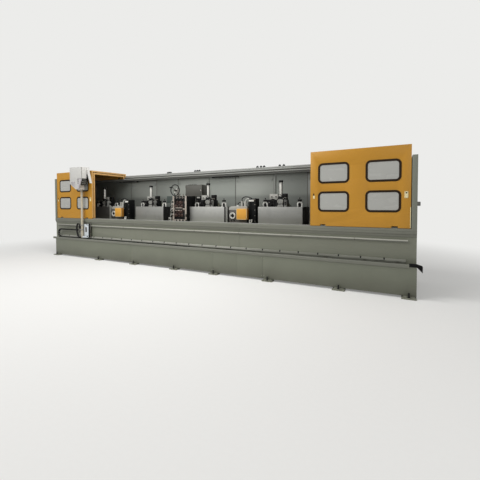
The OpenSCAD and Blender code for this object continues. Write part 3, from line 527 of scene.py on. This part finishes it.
dress("rear_wall", "wall", 1.4)
dress("access_panels", "panel", 1.6)
dress("rear_beam", "beam", 2.4)
dress("end_frames", "end", 2.4)
dress("wire_nozzles", "midGrey", 1.2)

(front, _), panelZ = nodeBox("access_panels")[1:]
s = Shape()
for bx in blockX[:-1]:
    px = bx + line["pitch"] // 2
    for z in (panelZ[0] + panel["latchZ"], panelZ[1] - panel["latchZ"]):
        for side in (-1, 1):
            cx = px + side * panel["latchX"]
            s.box(about(cx, 13), (front - 7, front + 1), about(z, 30))
            s.rod((cx, front - 1, z), (cx, front - 13, z), 8, 0, 16)
    for side in (-1, 1):                     # dark seal around each panel
        cx = px + side * panel["sealX"]
        s.box(about(cx, 8), (front - 4, front + 1), (panelZ[0] - 14, panelZ[1] + 8), 1)
    s.box(about(px, 484), (front - 4, front + 1), (panelZ[1] + 2, panelZ[1] + 11), 1)
s.box(panel["channel"], (front - 22, front + 1), (1075, 1990), 2)  # cable channel
s.done("panel_latches", "bed", "wall boxGrey panel", 0.8)

(front, _), beamZ = nodeBox("rear_beam")[1:]
s = Shape()
for cx in beam["clips"]:
    s.box(about(cx, 23), (front + 6, front + 42), (beamZ[1] - 1, beamZ[1] + 26))
    s.rod((cx, front + 24, beamZ[1] + 25), (cx, front + 24, beamZ[1] + 40), 13, 0, 12)
for cx in range(-beam["screwsTo"], beam["screwsTo"] + 1, beam["screwPitch"]):
    s.bolt((cx, front + 0.5, beamZ[0] + 32), 6, 1)  # screws of the front flange
s.done("beam_clips", "bed", "black bolt", 0.8)

top, low, half = workLamp["top"], workLamp["low"], workLamp["half"]
for number, lx in enumerate(workLamp["places"]):
    s = Shape()
    s.prism([(610, top), (668, top), (668, 1984), (656, low), (622, low), (610, 1984)], "x",
            lx - half, lx + half)
    s.prism([(624, low + 0.5), (654, low + 0.5), (648, low - 2), (630, low - 2)], "x",
            lx - half + 16, lx + half - 16, 1)
    for side in (-1, 1):
        s.box(about(lx + side * half, 4), (612, 666), (low, top))
    s.done("work_lamp_%d" % number, "bed", "lamp diffuser", 1.0,
           stands=("work_lamps",) if number == 0 else ())

dress("junction_box", "boxGrey", 2.0)
(front, _), boxZ = nodeBox("junction_box")[1:]
hingeX, lockX, lockZ = box["left"] + 6, box["left"] + box["door"] - 34, box["lockZ"]
s = Shape()
for z in (boxZ[0] + 45, boxZ[1] - 45):       # hinges and the quarter-turn lock
    s.rod((hingeX, front - 5, z - 22), (hingeX, front - 5, z + 22), 6, 0, 14)
s.turned([(15, 0), (15, 4), (9, 4.5), (9, 9)], (lockX, front + 1, lockZ), 1, 20)
s.box(about(lockX, 3), (front - 12, front - 8), about(lockZ, 11), 1)
for k in range(box["glands"]):               # cable glands
    s.turned([(15, 0), (15, 12), (11, 14), (11, 22)],
             (box["glandX"] + k * box["glandPitch"], front + 90, boxZ[1] - 1), 2, 6, "z")
s.done("box_fittings", "bed", "boxGrey steel black", 0.8)
print("wall dressed")


# rolling blocks

block = {"face": 60.5, "gearFace": 270.5, "bolt": 9, "smallBolt": 5, "hose": 8,
         "boltRows": (1110, 1190, 1455), "keeperRows": (1299, 1400), "guide": 355}
motor = {"places": (-300, 0), "z": 1299.5, "radius": 62, "fins": 20, "reach": (412, 505)}

# side faces of the covers take the dark finish as painted shade
dress("block_covers", "stainless shade", 0.8, sideFace)
dress("block_stands", "casting", 2.6)
dress("roll_chocks", "midGrey", 1.6)
dress("block_rolls", "midGrey", 1.2)
dress("supply_columns", "midGrey", 2.0)
dress("screwdown_cylinders", "enamel", 1.0)
dress("cylinder_ends", "black", 2.4)
dress("block_gearboxes", "grey", 2.4)
dress("block_motors", "bed", 2.0)
dress("guide_brackets", "enamel", 1.6)
dress("guide_knobs", "black", 3.0)

for number, bx in enumerate(blockX):
    s = Shape()
    for side in (-1, 1):
        for z in block["boltRows"]:          # bolts on the front of the housing
            s.bolt((bx + side * 59, block["face"], z), block["bolt"])
        for z in block["keeperRows"]:        # chock keeper plates
            s.box(about(bx + side * 50, 8), (54, 61), about(z, 22))
            s.bolt((bx + side * 50, 54.5, z), block["smallBolt"])
        s.rod((bx + side * 31, 88, 1499), (bx + side * 31, 88, 1771), 5, 1, 10)  # tie rods
    for gx in (-256, -165):                  # dark windows of the gearbox
        s.turned([(13, 0), (13, 1.2)], (bx + gx, 262.3, 1498), 1, 24)
    for gx in (-296, -210, -132):
        for gz in (1452, 1544):
            s.bolt((bx + gx, block["gearFace"], gz), block["smallBolt"])
    s.rod((bx, 62, 1530), (bx, 52, 1530), 9, 1, 14)
    s.tube([(bx, 54, 1530), (bx + 20, 46, 1518), (bx + 60, 60, 1490), (bx + 94, 78, 1436)],
           block["hose"] - 2, 1, 10)
    for k in range(3):                       # coils on the valve block
        s.turned([(13, 0), (13, 14), (9, 17)], (bx - 18 + k * 30, block["gearFace"], 1520), 1, 18)
        s.box(about(bx - 18 + k * 30, 8), (262, 271), (1462, 1490))
    s.box(about(bx + 99, 19), (57, 66), (1330, 1420), 1)  # manifold on the supply column
    for k in range(2):
        s.turned([(8, 0), (8, 8)], (bx + 99, 58, 1352 + k * 44), 0, 14)
    for foot, head in ((-250, -148), (-140, -204)):  # crossed links beside the housing
        s.prism([(bx + foot, 1300), (bx + foot + 28, 1300), (bx + head + 28, 1440),
                 (bx + head, 1440)], "y", 92, 108, 1)
    s.box(about(bx - 268, 28), (160, 240), (1300, 1402), 1)  # spray block by the guide
    for k in range(2):                       # its nozzles and hoses
        s.rod((bx - 284 + k * 28, 162, 1380), (bx - 284 + k * 28, 144, 1380), 7, 0, 12)
        s.tube([(bx - 290 + k * 30, 200, 1400), (bx - 280 + k * 34, 205, 1432 + k * 6),
                (bx - 250 + k * 30, 232, 1440 + k * 8), (bx - 230 + k * 30, 285, 1438)],
               block["hose"], 1, 10)
    s.done("block_details_%d" % number, "bed", "bolt black", 0.8)

s = Shape()                                  # collars and screws of the guides
for bx in blockX:
    for side in (-1, 1):
        gx = bx + side * block["guide"]
        s.turned([(15, 0), (15, 3), (11, 5)], (gx, 166, 1440), 0, 24, "z")
        for dx in (-42, 42):
            s.bolt((gx + dx, 155.5, 1318), block["smallBolt"])
        s.box(about(gx, 32), (178, 196), (1200, 1372), 1)  # black box behind the arch: painted shade inside it
s.done("guide_screws", "bed", "bolt black", 0.5)

s = Shape()                                  # cooling fins and terminal boxes of the motors
for bx in blockX:
    for gx in motor["places"]:
        for k in range(motor["fins"]):
            a = math.radians(360 / motor["fins"] * k)
            ca, sa = math.cos(a), math.sin(a)
            cx, cz = bx + gx + motor["radius"] * ca, motor["z"] + motor["radius"] * sa
            s.loft([[(cx - 1.5 * sa, y, cz + 1.5 * ca), (cx + 1.5 * sa, y, cz - 1.5 * ca),
                     (cx + 8 * ca + sa, y, cz + 8 * sa - ca),
                     (cx + 8 * ca - sa, y, cz + 8 * sa + ca)] for y in motor["reach"]])
        s.box(about(bx + gx, 34), (425, 490), (1355, 1392))
        s.turned([(58, 0), (64, 3), (64, 8), (40, 10)], (bx + gx, 507, motor["z"]), 1, 32, "y")
s.done("motor_fins", "bed", "bed black", 0.8)
print("blocks dressed")


# side-roll units

unit = {"places": (-2313, 1202), "face": -79, "dial": -132, "dialZ": 1116, "guard": -7,
        "guardWidth": 228, "rim": 9, "hose": 9, "columnBolts": (1010, 1120, 1230, 1340, 1440)}

dress("edger_bodies", "casting", 2.6)
dress("edger_tops", "grey", 2.6)
dress("edger_posts", "midGrey", 2.0)
# right faces of the guards take the darker amber as painted shade
dress("edger_guards", "amber amberShade", 3.0, rightFace)
dress("edger_dials", "enamel", 1.4)
(front, _), guardZ = nodeBox("edger_guards")[1:]
dialY = nodeBox("edger_dials")[1][0]

for number, ux in enumerate(unit["places"]):
    s = Shape()
    s.box((ux - 213, ux + 188), (unit["face"], unit["face"] + 5), (960, 1229), 2)  # front plate
    for cx in (ux + unit["guard"] + 16, ux + unit["guard"] + 212):
        for z in (guardZ[0] + 16, guardZ[1] - 16):
            s.turned([(5, 0), (5, 2), (3.5, 3)], (cx, front + 0.5, z), 0, 14)
    left, rim = ux + unit["guard"], unit["rim"]  # pale worn rim of the guard
    right = left + unit["guardWidth"]
    for xs, zs in (((left, left + rim), guardZ), ((right - rim, right), guardZ),
                   ((left, right), (guardZ[0], guardZ[0] + rim)),
                   ((left, right), (guardZ[1] - rim, guardZ[1]))):
        s.box(xs, (front - 0.8, front + 3), zs, 5)
    dx, dz = ux + unit["dial"], unit["dialZ"]
    s.turned([(47, 0), (47, 2)], (dx, dialY + 16, dz), 4, 40)
    s.loft([[(dx - 42, y, dz), (dx, y, dz - 42), (dx + 42, y, dz), (dx, y, dz + 42)]
            for y in (dialY + 14.5, dialY + 8)], 1)
    for side in (-1, 1):                     # knobs under the dial
        s.turned([(13, 0), (13, 14), (10, 17)], (dx + side * 36, unit["face"], dz - 98), 1, 20)
    s.tube([(ux + 44, 0, 1408), (ux + 40, 6, 1462), (ux + 100, 30, 1500), (ux + 190, 40, 1488),
            (ux + 245, 60, 1456)], unit["hose"], 1, 12)
    s.tube([(ux + 118, 0, 1408), (ux + 126, 6, 1440), (ux + 160, 24, 1462), (ux + 205, 36, 1448),
            (ux + 240, 55, 1420)], unit["hose"] - 2, 4, 12)
    s.tube([(ux - 60, 4, 1330), (ux - 50, 4, 1362), (ux - 14, 6, 1384), (ux + 16, 4, 1386)],
           unit["hose"], 1, 12)
    for k in range(3):                       # hoses that hang beside the guard
        s.tube([(ux + 210 + k * 15, -16, 1400), (ux + 212 + k * 15, -50, 1386),
                (ux + 216 + k * 14, -66, 1320), (ux + 220 + k * 13, -50, 1240),
                (ux + 224 + k * 11, -20, 1130)], 5, 1, 10)
    s.box((ux + 205, ux + 314), (-24, 2), (1402, 1438), 4)  # distributor on the column
    for z in unit["columnBolts"]:
        s.bolt((ux + 335, -14.5, z), 8)
    s.tube([(ux + 243, -62, 1034), (ux + 243, -66, 1000), (ux + 264, -68, 972),
            (ux + 285, -66, 1000), (ux + 285, -62, 1034)], 12, 4, 12)  # pipe bend and its nuts
    for side in (-1, 1):
        s.turned([(17, 0), (17, 16), (12, 20)], (ux + 264 + side * 21, -62, 1022), 4, 6, "z")
        # collar on an upright side roll
        s.turned([(32, 0), (32, 6), (24, 8)], (ux, 195 + side * 34, 1366), 0, 32, "z")
    s.done("side_roll_details_%d" % number, "bed", "bolt black plate chain enamel rim", 0.8)
print("side-roll units dressed")


# straightener and its handwheel

straight = {"x": -301, "front": -85, "half": 198, "inner": 148, "rollPitch": 89.6,
            "rollZ": 1350, "groupDrop": 206, "boltRows": (1000, 1244, 1505), "pipes": 6}

dress("straightener_frame", "frame casting", 2.0, sideFace)
dress("straightener_rolls", "copper", 2.4)
dress("straightener_drive", "casting", 3.0)
dress("straightener_spindle", "grey", 2.0)

sx, sy, half = straight["x"], straight["front"], straight["half"]
s = Shape()
for group in (0, 1):                         # caps on the ends of the rollers
    for row in (0, 1):
        for i in range(3):
            rx = sx - straight["inner"] + 36 + (i + row / 2) * straight["rollPitch"]
            rz = straight["rollZ"] - group * straight["groupDrop"] + (2 * row - 1) * 40
            s.turned([(22, 0), (22, 3), (15, 5), (15, 7)], (rx, sy + 0.5, rz),
                     2 if (i + row) % 2 else 4, 28)
            s.turned([(8, 0), (8, 4), (6, 5)], (rx, sy - 6.5, rz), 2, 6)
for side, z, tall, mat in ((-1, 1400, 44, 2), (-1, 1318, 26, 4), (-1, 1168, 50, 2),
                           (-1, 1092, 24, 4), (1, 1452, 30, 5), (1, 1100, 60, 2), (1, 990, 34, 2)):
    edge = sx + side * (half - 14)           # stained spots and small parts on the uprights
    s.box((edge - 15, edge + 13), (sy - 3, sy + 2), about(z, tall / 2), mat)
s.box((sx - half + 47, sx + half - 47), (sy + 26, sy + 34), (1010, 1476), 2)  # black sheet behind the rollers: painted shade between them
s.box((sx - half + 60, sx + half - 90), (sy + 3, sy + 26), (1228, 1256), 2)  # middle bar
for z in (1204, 1262):                       # keeper bars above and below it
    s.box((sx - 120, sx + 60), (sy + 4, sy + 26), (z, z + 18), 6)
s.box((sx + 92, sx + 148), (sy - 1, sy + 26), (1040, 1206), 2)  # dark blocks
s.box((sx + 92, sx + 132), (sy - 1, sy + 26), (1290, 1440), 2)
s.turned([(16, 0), (16, 8), (11, 11)], (sx + 112, sy + 1, 1243), 6, 20)
for i in range(4):                           # adjusting blocks on the top bar
    rx = sx - 126 + i * 84
    s.box(about(rx, 32), (sy + 1, sy + 12), (1440, 1534), 2)
    s.turned([(10, 0), (10, 8), (7, 10)], (rx, sy + 1.5, 1500), 1, 6)
for side in (-1, 1):
    for z in straight["boltRows"]:
        s.bolt((sx + side * 175, sy + 0.5, z), 8, 1)
for cx in (-92, 0, 92):                      # dark keys in the lower bar
    s.box(about(sx + cx, 20), (sy + 2, sy + 12), (966, 1004), 2)
for cx, top in ((-40, 1600), (60, 1580)):    # pins that stand on the frame
    s.rod((sx + cx, sy + 60, 1535), (sx + cx, sy + 60, top), 12, 1, 18)
s.box((-70, 16), (258, 271), (1488, 1522), 5)  # pale terminal cap of the drive
s.box((-925, -745), (215, 300), (1385, 1548), 7)  # motor of the left side
s.rod((-746, 262, 1450), (sx - half + 1, 262, 1450), 30, 7, 24)
for k in range(straight["pipes"]):           # coolant pipes down the left side
    z0 = 1440 - k * 62
    s.tube([(sx - half + 1, sy + 30, z0), (sx - 222 - k * 4, sy + 10, z0 - 8),
            (sx - 240 - k * 5, sy + 6, z0 - 40)], 8, 3 if k % 2 else 1, 10)
    s.turned([(12, 0), (12, 16), (8, 20)], (sx - 240 - k * 5, sy + 6, z0 - 44), 1, 12, (0, 0, -1))
s.tube([(sx - 248, sy + 8, 1400), (sx - 262, sy + 4, 1250), (sx - 276, sy, 1120),
        (sx - 270, sy, 990)], 10, 2, 12)
s.box(about(sx - 268, 32), (sy - 20, sy + 34), (956, 1052), 5)  # terminal box and its lock
s.rod((sx - 268, sy - 18, 1008), (sx - 268, sy - 32, 1008), 15, 2, 20)
s.done("straightener_details", "bed", "steel bolt black enamel copper grey frame motor", 0.8)

handwheel = {"centre": (-393, -120, 1668), "turn": -50, "spokes": 3}
wx, wy, wz = handwheel["centre"]
wheel = dress("handwheel", "black", 1.0, body="handwheel")
turnBy = math.radians(handwheel["turn"])     # the wheel rests with one spoke up to the left
wheel.data.transform(Matrix.Translation((wx / 1000, 0, wz / 1000)) @ Matrix.Rotation(turnBy, 4, "Y")
                     @ Matrix.Translation((-wx / 1000, 0, -wz / 1000)))
s = Shape()
s.turned([(24, 0), (24, 4), (14, 8), (14, 12)], (wx, wy - 19, wz), 0, 28)
s.bolt((wx, wy - 31, wz), 9)
for k in range(handwheel["spokes"]):         # bosses where the spokes meet the hub; the two white ones are painted highlights
    a = math.radians(140 + 120 * k)
    s.rod((wx + 26 * math.cos(a), wy, wz + 26 * math.sin(a)),
          (wx + 70 * math.cos(a), wy, wz + 70 * math.sin(a)), 9.5, 2 if k else 0, 16)
s.rod((wx - 93, wy - 6, wz + 62), (wx - 93, wy - 62, wz + 62), 15, 1, 20)  # grip on the rim
s.done("handwheel_hub", "handwheel", "boxGrey black enamel", 0.8)
print("straightener dressed")


# drag chain and console

chain = {"pitch": 60, "half": 29, "thick": 34, "wide": 44, "radius": 108, "left": -3965,
         "right": 270, "low": 478.3, "front": -551}
console = {"x": -3070, "chainEnd": -162.3, "cheek": [(110, 0), (150, 10), (268, 265), (110, 265)],
           "keyPanel": [(110, 108), (196, 108), (268, 265), (110, 265)], "keyRows": 3,
           "lockZ": 2060}


def linkOutline(x, z, t, corners):           # corners along and across the chain, turned by t
    return [(x - math.cos(t) * u - math.sin(t) * v, z + math.sin(t) * u - math.cos(t) * v)
            for u, v in corners]


pitch, radius, low, front = (chain[key] for key in ("pitch", "radius", "low", "front"))
half, tall = chain["half"], chain["thick"] / 2 - 1
bends = round(math.pi * radius / pitch)
points = [(-x, low, 0) for x in every(pitch, -chain["right"], -chain["left"])]
for k in range(bends + 1):
    t = math.pi * k / bends
    points.append((chain["left"] - radius * math.sin(t), low + radius - radius * math.cos(t), t))
points += [(x, low + 2 * radius, math.pi)
           for x in every(pitch, chain["left"] + pitch, console["x"] + console["chainEnd"])]
plate = [(-half, -tall + 5), (-half + 7, -tall), (half - 7, -tall), (half, -tall + 5),
         (half, tall - 5), (half - 7, tall), (-half + 7, tall), (-half, tall - 5)]
s = Shape()
for k, (x, z, t) in enumerate(points):
    inset = 2 if k % 2 else 0                # every second link is narrower
    outline = linkOutline(x, z, t, plate)
    s.prism(outline, "y", front + inset, front + 5)
    s.prism(outline, "y", front + 39, front + chain["wide"] - inset)
    for v in (-tall, tall - 4):              # cross bars
        bar = linkOutline(x, z, t, [(-9, v), (9, v), (9, v + 4), (-9, v + 4)])
        s.prism(bar, "y", front + 4, front + 40)
    s.turned([(8, 0), (8, 1.5)], (x - math.cos(t) * 24, front + 0.8, z + math.sin(t) * 24), 0, 14)
s.done("drag_chain_links", "bed", "chain", 0.7, stands=("drag_chain",))

dress("console_carriage", "steel", 1.6, body="console")
dress("console_post", "post", 1.0, body="console")
# right faces of the head take the lighter paint as painted light
dress("console_head", "console consoleSide", 4.0, rightFace, body="console")
headY, headZ = nodeBox("console_head")[1:]
plateX, plateY = nodeBox("console_carriage")[:2]

cx, front, low, rows = console["x"], headY[0], headZ[0], console["keyRows"]
s = Shape()                                  # grey cheek and the panel set back behind it, black as painted shade
for mat, (key, ya, yb) in enumerate((("cheek", 10, 34), ("keyPanel", 34, 185))):
    s.prism([(cx + x, low + z) for x, z in console[key]], "y", front + ya, front + yb, mat)
for k in range(4):                           # keys on the sloping side
    for row in range(rows):
        t = 0.2 + 0.3 * row
        kx, kz = cx + 196 + 72 * t, low + 108 + 157 * t
        y = front + 62 + k * 32
        s.box((kx - 4, kx + 5), about(y, 9), about(kz, 11), 2)
for k in range(2):                           # keys on the cheek
    for row in range(rows):
        kx, kz = cx + 132 + k * 26, low + 150 + row * 40
        s.box(about(kx, 8), (front + 6, front + 11), about(kz, 11), 3)
s.done("console_keys", "console", "keyGrey black grey midGrey", 0.8,
       stands=("console_panel",))

s = Shape()
s.box((cx - 163, cx + 36), (front - 0.1, front + 3), (low + 206, headZ[1] - 12))
for z in (low + 250, headZ[1] - 70):         # hinges and the lock of the door
    s.rod((cx - 165, front + 4, z - 20), (cx - 165, front + 4, z + 20), 4, 1, 14)
s.turned([(12, 0), (12, 2.6), (8, 3.3)], (cx + 22, front + 3.4, console["lockZ"]), 1, 20)
s.box((cx + 277, cx + 279.5), (front + 6, front + 16), (low + 270, headZ[1] - 6), 2)
# grey key field over the slanted edge, and its flush keys
s.prism([(cx - 122, low + 120), (cx + 10, low + 38), (cx + 44, low + 38), (cx + 44, low + 196),
         (cx - 122, low + 196)], "y", front - 0.2, front + 2, 3)
for k in range(4):
    for row in range(rows):
        kx, kz = cx - 96 + k * 38, low + 176 - row * 34
        if kz > low + 130 - (kx - cx + 96) * 0.62:
            s.turned([(11, 0), (11, 2.4)], (kx, front + 2, kz), 2 if row == k % 3 else 4, 18)
s.box((cx + 276, cx + 291), (front + 140, front + 178), (1955, 2105), 5)  # grip by the visor
s.done("console_door", "console", "console steel boxGrey keyGrey midGrey black", 0.8)

s = Shape()
px0, px1 = plateX
for x in (px0 + 40, px1 - 40):               # caps of the carriage's rollers
    for z in (842.3, 553.3):
        s.turned([(15, 0), (15, 4), (9, 6)], (x, plateY[0] + 0.5, z), 1, 28)
s.box((cx + 40, cx + 206), (-512, -508.5), (530, 850), 3)  # bright plate with its slot
s.box((cx + 84, cx + 142), (-514, -511), (650, 775), 4)
s.box((px1 - 46, px1 - 4), (-524, -508.5), (520, 858), 1)  # black end guard
for z in (560, 640, 700, 820):               # bolts of the plate
    s.bolt((cx + 190, -512, z), 6)
for z in (700, 812):                         # clamps round the post
    s.box(about(cx, 44), (-570, -509), (z, z + 26), 2)
s.box((cx + 30, cx + 228), (-560, -509), (512, 548), 3)
s.box((px0 + 18, px0 + 62), (-556, -509), (735, 846), 1)  # bracket that holds the hose
s.tube([(px0 - 10, -556, 862), (px0 - 34, -572, 800), (px0 - 26, -578, 690), (px0 + 4, -580, 590),
        (px0 + 44, -578, 530), (cx - 30, -576, 515)], 20, 1, 14)
s.tube([(px0 + 44, -548, 846), (px0 + 78, -562, 820), (px0 + 86, -562, 770), (px0 + 58, -552, 742)],
       15, 1, 14)
s.done("carriage_fittings", "console", "bolt black steel bright plate", 1.0)

s = Shape()                                  # collars on the post
for z in (1000, 1690):
    s.turned([(33, 0), (33, 16), (30, 20)], (cx, -538, z), 0, 36, "z")
s.done("post_collars", "console", "post", 0.8)
print("console dressed")


# hoods

hood = {"length": 1456, "windowWidth": 436.5, "windowHeight": 281, "radius": 50,
        "rows": (1387, 1845), "post": 283, "notch": 207, "handle": 60, "handleZ": 1432,
        "axle": 18.3, "frontZ": 997, "rearLift": 12}
# for each hood: left edge, front, rear leg, rear shelf
hoodPlaces = {"left_outer": (-4220, -473, 583, 2100), "left_inner": (-4220, -421, 531, 2048),
              "right_outer": (2764, -473, 583, 2100), "right_inner": (2764, -421, 531, 2048)}


def flushPull(s, cx, y, z, side):            # cream pull with a dark finger slot
    if side < 0:                             # the left-hand one is a narrow latch, dark above
        s.box(about(cx, 14), (y - 3, y + 1), (z + 4, z + 52), 2)
        s.box((cx - 12, cx + 4), (y - 4, y + 1), (z + 52, z + 90))
        return
    path = roundedPath(cx, z + 49, 48, 98, 8, 4)
    s.sweep(path, [(0, y), (0, y - 3), (-3, y - 4), (-19, y - 4), (-21, y - 2), (-21, y)], 2)
    s.box(about(cx, 8), (y - 3, y + 1), (z + 14, z + 84), 2)
    s.turned([(11, 0), (11, 1.2)], (cx, y - 2.8, z + 76), 0, 20)


def roller(s, x, y, z, plate, out):          # grooved roller, its axle and its plate
    axle = z + hood["axle"]
    s.turned([(8, -7), (18, -7), (18, -5), (15.5, -1), (15.5, 1), (18, 5), (18, 7), (8, 7)],
             (x, y, axle), 0, 28, "y")
    s.rod((x, min(plate, y), axle), (x, max(plate, y), axle), 6, 1, 14)
    s.box(about(x, 30), sorted((plate, plate + out * 6)), (z + 14, z + 48))
    for side in (-1, 1):
        s.bolt((x + side * 21, plate + out * 6, z + 38), 5, 1, (0, out, 0))


for name, (x0, y0, rear, shelfZ) in hoodPlaces.items():
    body, x1 = name + "_hood", x0 + hood["length"]
    # side faces take the paler ochre as painted light
    dress(name + "_shell", "ochre ochreEdge", 1.2, sideFace, body)
    s = Shape()
    for col in (-1, 1):
        wx = x0 + (hood["length"] + col * (hood["windowWidth"] + hood["post"])) / 2
        for wz in hood["rows"]:
            wide, tall, radius = hood["windowWidth"], hood["windowHeight"], hood["radius"]
            seal = roundedPath(wx, wz, wide, tall, radius)  # rubber over the sheet's edge
            s.sweep(seal, [(25, y0), (25, y0 - 2.2), (22, y0 - 4), (-6, y0 - 4), (-8, y0 - 2.2),
                           (-8, y0 + 2), (-1, y0 + 2), (-1, y0)], 1)
            pane = roundedPath(wx, wz, wide - 4, tall - 4, radius - 2)
            s.prism(pane[::-1], "y", y0 + 0.6, y0 + 4.6)
    s.done(name + "_glazing", body, "pane rubber", 0.0,
           stands=(name + "_windows",), angle=30)
    s = Shape()
    for x in (x0 + hood["notch"], x1 - hood["notch"]):
        roller(s, x, y0 + 22, hood["frontZ"], y0 + 3, 1)
        roller(s, x, rear, shelfZ + hood["rearLift"], rear + 17, -1)
    flushPull(s, x0 + hood["handle"], y0, hood["handleZ"], -1)
    flushPull(s, x1 - hood["handle"], y0, hood["handleZ"], 1)
    if name == "right_outer":                # rubbed edge of the sheet
        s.box((x1 - 9, x1 - 0.5), (y0 - 1.5, y0 + 1), (1000, 1300), 2)
    s.done(name + "_running_gear", body, "black bolt cream", 0.6,
           stands=(name + "_fittings",))
print("hoods dressed")


# floor, backdrop, light and camera, in metres

studio = {"floor": rgb(232, 231, 228), "backdrop": rgb(236, 236, 234),
          "fadeFrom": 4.6, "fadeTo": 9.0, "half": 40}

floor = Finish("studioFloor")
speck = floor.noise(30, 4)
floor.set(Base_Color=floor.tone(studio["floor"], 0.98 + speck * 0.04), Roughness=0.6 + speck * 0.1)
away = floor.add("VectorMath", {"operation": "LENGTH"},
                 {0: floor.add("TexCoord", out="Object")}, out=1)
seen = floor.add("LightPath", out="Is Camera Ray")
fade = (0.25 + floor.steps(away, studio["fadeFrom"], studio["fadeTo"]) * 0.75) * seen
haze = floor.add("Emission", {}, {"Color": studio["backdrop"]})
blended = floor.add("MixShader", {}, {"Fac": fade, 1: Val(floor, floor.shader.outputs[0]), 2: haze})
floor.feed(floor.tree.nodes["Material Output"].inputs["Surface"], blended)
mesh = bpy.data.meshes.new("floor")
size = studio["half"]
mesh.from_pydata([(-size, -size, 0), (size, -size, 0), (size, size, 0), (-size, size, 0)], [],
                 [(0, 1, 2, 3)])
ground = bpy.data.objects.new("floor", mesh)
mesh.materials.append(floor.material)
scene.collection.objects.link(ground)

light = {"worldLevel": 0.44, "key": 400, "fill": 45, "back": 180}

world = bpy.data.worlds.new("studio")
scene.world = world
world.use_nodes = True
tree = world.node_tree
tree.nodes.clear()


def background(colour, strength):
    node = tree.nodes.new("ShaderNodeBackground")
    node.inputs["Color"].default_value, node.inputs["Strength"].default_value = colour, strength
    return node.outputs[0]


path, mix, out = (tree.nodes.new("ShaderNode" + kind)
                  for kind in ("LightPath", "MixShader", "OutputWorld"))
tree.links.new(path.outputs["Is Camera Ray"], mix.inputs["Fac"])
tree.links.new(background((1, 1, 1, 1), light["worldLevel"]), mix.inputs[1])
tree.links.new(background(studio["backdrop"], 1.0), mix.inputs[2])
tree.links.new(mix.outputs[0], out.inputs["Surface"])


def lamp(name, place, target, size, power):
    data = bpy.data.lights.new(name, "AREA")
    data.shape, data.size, data.size_y, data.energy = "RECTANGLE", size[0], size[1], power
    item = bpy.data.objects.new(name, data)
    item.location = place
    item.rotation_euler = (Vector(target) - Vector(place)).to_track_quat("-Z", "Y").to_euler()
    scene.collection.objects.link(item)


lamp("keyLamp", (-3.5, -6.5, 6.5), (0, 0, 1), (6, 3), light["key"])
lamp("fillLamp", (6.5, -5.5, 3.5), (1, 0, 1), (4, 3), light["fill"])
lamp("overheadLamp", (0.2, -1.4, 5.2), (0.3, 0.7, 1.5), (4, 1.6), light["back"])

scene.view_settings.view_transform = "Standard"

view = {"place": (4.049, -5.434, 1.338), "yaw": 27.71, "pitch": -1.67, "roll": -0.08,
        "lens": 22.5, "shift": -0.0552}
data = bpy.data.cameras.new("camera")
data.lens, data.sensor_width, data.shift_y = view["lens"], 36, view["shift"]
camera = bpy.data.objects.new("camera", data)
camera.location = view["place"]
camera.rotation_euler = (Matrix.Rotation(math.radians(view["yaw"]), 3, "Z")
                         @ Matrix.Rotation(math.radians(90 + view["pitch"]), 3, "X")
                         @ Matrix.Rotation(math.radians(view["roll"]), 3, "Z")).to_euler()
scene.collection.objects.link(camera)
scene.camera = camera

print("scene ready")
